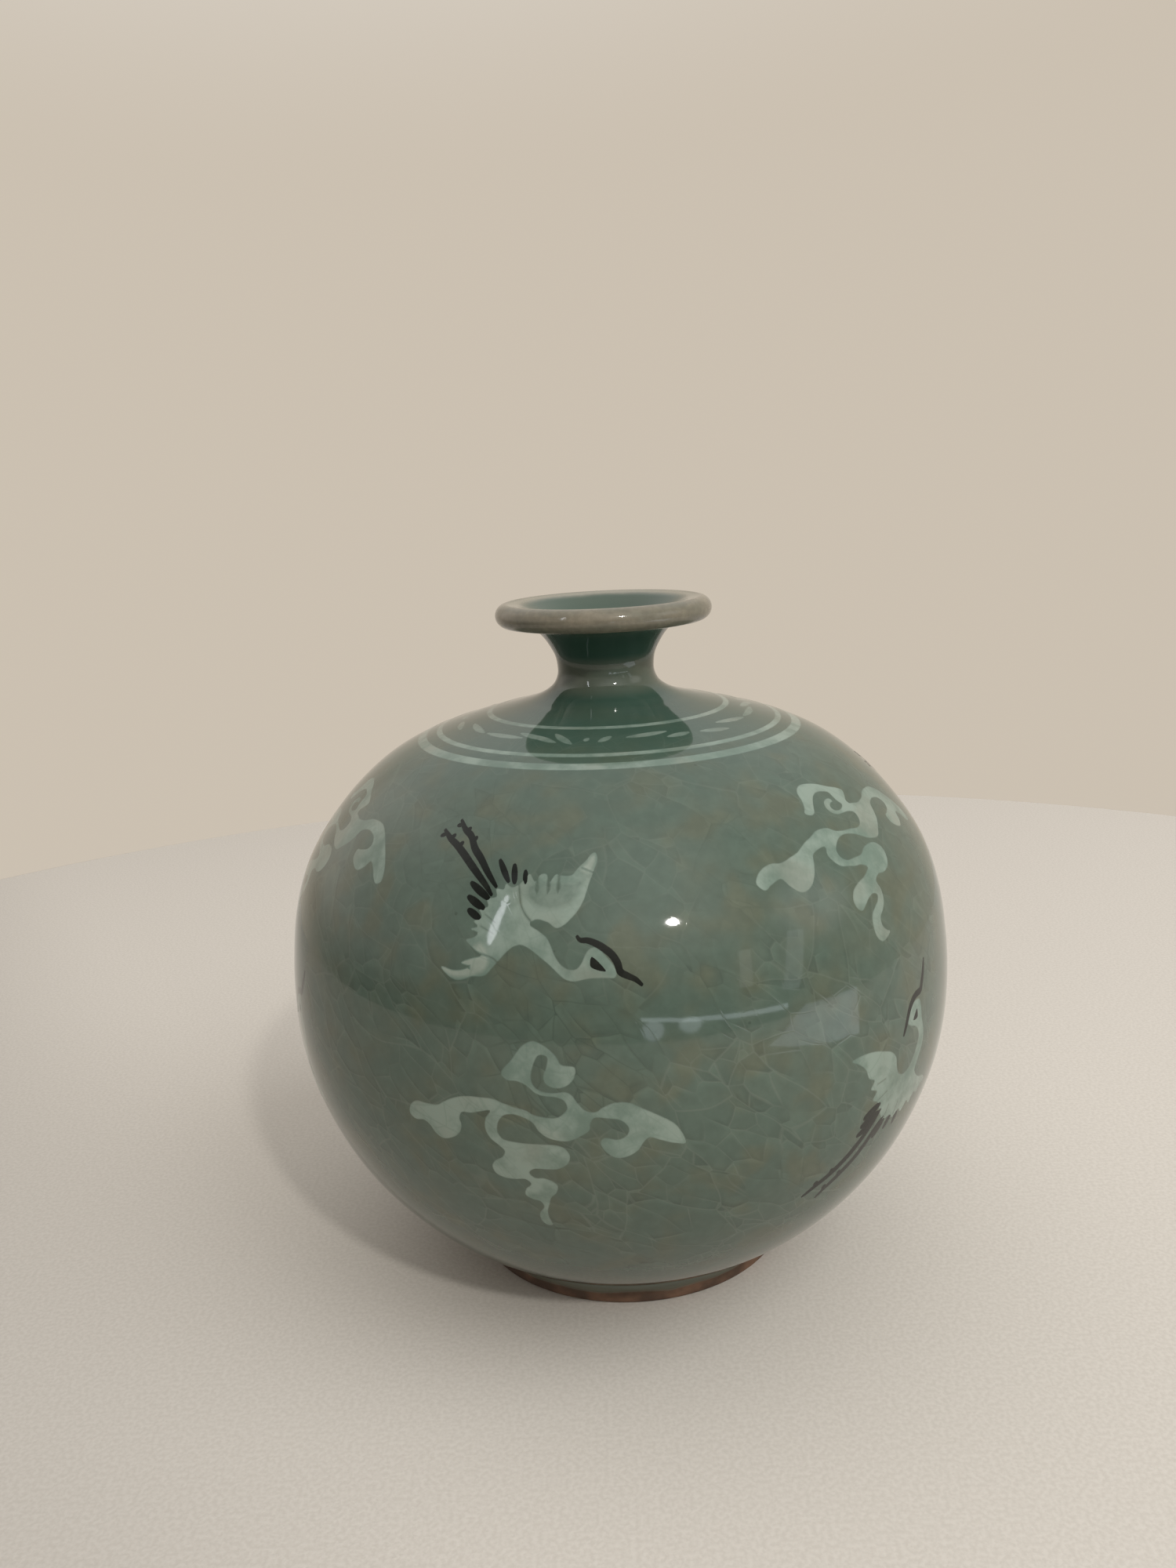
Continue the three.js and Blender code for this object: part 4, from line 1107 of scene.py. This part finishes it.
def add_lamp(name, start, end, width, radiance, color, target=VASE_MIDDLE, shape="RECTANGLE",
             fading=None, **seen):
    """An area light from a start to an end, which faces the vase or another target.

    A start that is also the end makes a disc. Fading is the share of the way out where the
    light begins to fade towards the edge. Radiance is what a viewer of the lamp would see.
    """
    middle, along = (np.array(start) + end) / 2, np.array(end) - start
    length = np.linalg.norm(along)
    is_disc = length == 0
    back = middle - target
    side = unit(np.cross([0.0, 0.0, 1.0], back) if is_disc else along)
    back = unit(back - (back @ side) * side)
    up = np.cross(back, side)
    data = bpy.data.lights.new(name, "AREA")
    data.shape = "DISK" if is_disc else shape
    data.size = width if is_disc else length
    data.size_y = width
    area = math.pi * width**2 / 4 if is_disc else length * width
    data.energy = radiance * math.pi * area
    data.color = color
    if fading is not None:
        t = Tree(data)
        place = t.add("ShaderNodeNewGeometry").outputs["Parametric"]
        away = t.vector("LENGTH", t.vector("SUBTRACT", place, (0.5, 0.5, 0.0)), output="Value")
        emission = t.add("ShaderNodeEmission", {"Strength": t.step(away, fading / 2, 0.5, 1.0, 0.0)})
        t.add("ShaderNodeOutputLight", {"Surface": emission.outputs[0]})
    lamp = bpy.data.objects.new(name, data)
    turn = Matrix([[side[k], up[k], back[k]] for k in range(3)])
    lamp.matrix_world = Matrix.Translation(middle) @ turn.to_4x4()
    lamp.visible_camera = False
    for ray, is_seen in seen.items():
        setattr(lamp, ray, is_seen)
    bpy.context.scene.collection.objects.link(lamp)


def build_lights():
    """Soft light from the right, a small lamp, and pale shapes that only the gloss shows.

    The ends are azimuth and elevation, then come distance and width in metres, radiance and
    colour.
    """
    def light(name, place, distance, *look, **settings):
        at = toward(*place, distance)
        add_lamp(name, at, at, *look, **settings)

    def shine(name, start, end, distance, *look, **settings):
        start, end = toward(*start, distance), toward(*end, distance)
        add_lamp(name, start, end, *look, visible_diffuse=False, **settings)

    warm = (1.0, 0.95, 0.88)
    light("key_lamp", (21.5, 38.7), 1.4, 0.082, 275.0, (1.0, 0.98, 0.93))
    light("soft_light", (58.0, 40.0), 1.7, 1.6, 2.4, (0.97, 1.0, 1.01), visible_glossy=False)
    light("front_light", (-8.0, 30.0), 1.5, 1.2, 0.45, warm, visible_glossy=False)
    shine("haze", (17.0, 46.0), (17.0, 46.0), 1.5, 2.3, 0.8, (1.0, 1.0, 0.95), fading=0.1)
    shine("left_glow", (-40.0, 15.0), (-150.0, 13.0), 1.5, 1.2, 0.5, warm, fading=0.35)
    shine("right_glow", (52.0, 22.0), (96.0, 24.0), 1.6, 1.0, 1.0, (0.98, 1.0, 0.97), fading=0.3)
    shine("window", (-45.0, 23.0), (-49.5, 47.0), 1.5, 0.07, 7.0, (0.94, 0.96, 1.0), shape="ELLIPSE")
    shine("curtain", (-42.0, 16.0), (-53.0, 53.0), 1.6, 0.17, 0.25, (0.92, 0.94, 1.0))
    shine("far_edge", (6.0, -4.8), (53.0, -8.4), 1.2, 0.026, 3.0, (0.84, 0.96, 1.0))
    shine("far_floor_left", (5.5, -8.0), (13.5, -8.4), 1.2, 0.12, 2.2, (0.82, 0.90, 1.0), fading=0.7)
    shine("far_floor_right", (16.5, -7.6), (25.5, -8.2), 1.2, 0.09, 2.2, (0.82, 0.95, 1.0), fading=0.6)
    shine("slab_near", (39.5, 2.0), (41.5, 16.0), 1.2, 0.09, 0.8, (0.9, 1.0, 0.98))
    shine("slab_far", (54.0, -4.0), (61.0, 17.0), 1.2, 0.13, 0.8, (0.86, 0.96, 1.0))
    add_lamp("table_light", (0.18, -0.13, 0.002), (0.34, -0.155, 0.002), 0.13, 1.3,
             (0.78, 0.90, 1.0), target=(0.26, -0.14, 1.0), visible_diffuse=False)


def build_world():
    """A dim room in front with a warm glow above, pale walls behind and a paler ceiling."""
    world = bpy.data.worlds.new("room")
    t = Tree(world)
    way = t.add("ShaderNodeTexCoord").outputs["Generated"]

    def facing(direction, low, high):
        return t.step(t.along(way, direction), low, high)

    color = t.mix(facing((1.0, 0.0, 0.0), -0.6, 0.4), ROOM_LEFT, ROOM_FRONT)
    color = t.mix(facing((0.30, 0.95, 0.0), -0.35, 0.62), color, ROOM_WALL)
    glow = t.times(facing((0.0, 0.0, 1.0), 0.02, 0.2), facing((0.42, -0.91, 0.0), 0.0, 0.7))
    color = t.mix(glow, color, ROOM_GLOW)
    color = t.mix(facing((-0.05, 0.32, 0.94), 0.5, 0.9), color, ROOM_CEILING)
    background = t.add("ShaderNodeBackground", {"Color": color})
    t.add("ShaderNodeOutputWorld", {"Surface": background.outputs[0]})
    bpy.context.scene.world = world


def cloth_material():
    """Pale woven cloth, with a painted shadow that darkens it towards the front left."""
    t = Finish("tablecloth")
    weave = t.grain(1400.0)
    cloth = t.mix(t.step(weave, 0.3, 0.7), CLOTH_DARK, CLOTH_PALE)
    # Painted shadow towards the front left
    leftwards = t.along(t.place, CLOTH_LEFT)
    cloth = t.brightened(cloth, t.step(leftwards, *CLOTH_SHADE_WAY, 1.0, CLOTH_LEFT_SHADE))
    return t.shaded(cloth, t.bump(weave, 0.3, 0.0002), CLOTH_ROUGHNESS, CLOTH_IOR)


def build_table():
    """A round pale cloth-covered tabletop that the vase stands on."""
    around = np.arange(TABLE_SIDES) / TABLE_SIDES * math.tau
    vertices, faces = [(0.0, 0.0, 0.0)], []
    for r, z in TABLE_PROFILE:
        vertices.extend(turned(r, around, z))
    for i in range(TABLE_SIDES):
        n = (i + 1) % TABLE_SIDES
        faces.append([0, 1 + i, 1 + n])
        for k in range(len(TABLE_PROFILE) - 1):
            a, b = 1 + k * TABLE_SIDES, 1 + (k + 1) * TABLE_SIDES
            faces.append([a + i, b + i, b + n, a + n])
    mesh = bpy.data.meshes.new("tabletop")
    mesh.from_pydata(vertices, [], faces)
    mesh.polygons.foreach_set("use_smooth", [True] * len(faces))
    mesh.materials.append(cloth_material())
    table = bpy.data.objects.new("tabletop", mesh)
    table.location = TABLE_PLACE
    bpy.context.scene.collection.objects.link(table)


def build_all():
    celadon = glaze_material()
    white = (white_material(), WHITE_UP, "white_inlay")
    black = (black_material(), BLACK_UP, "black_inlay")
    build_camera()
    build_body(celadon, lip_material(), foot_material())
    for name, (radius, width) in RINGS.items():
        build_ring(name, radius, width, white)
    build_leaves(white)
    build_motifs(white, black)
    build_table()
    build_world()
    build_lights()


build_all()
bpy.context.scene.view_settings.view_transform = "Standard"
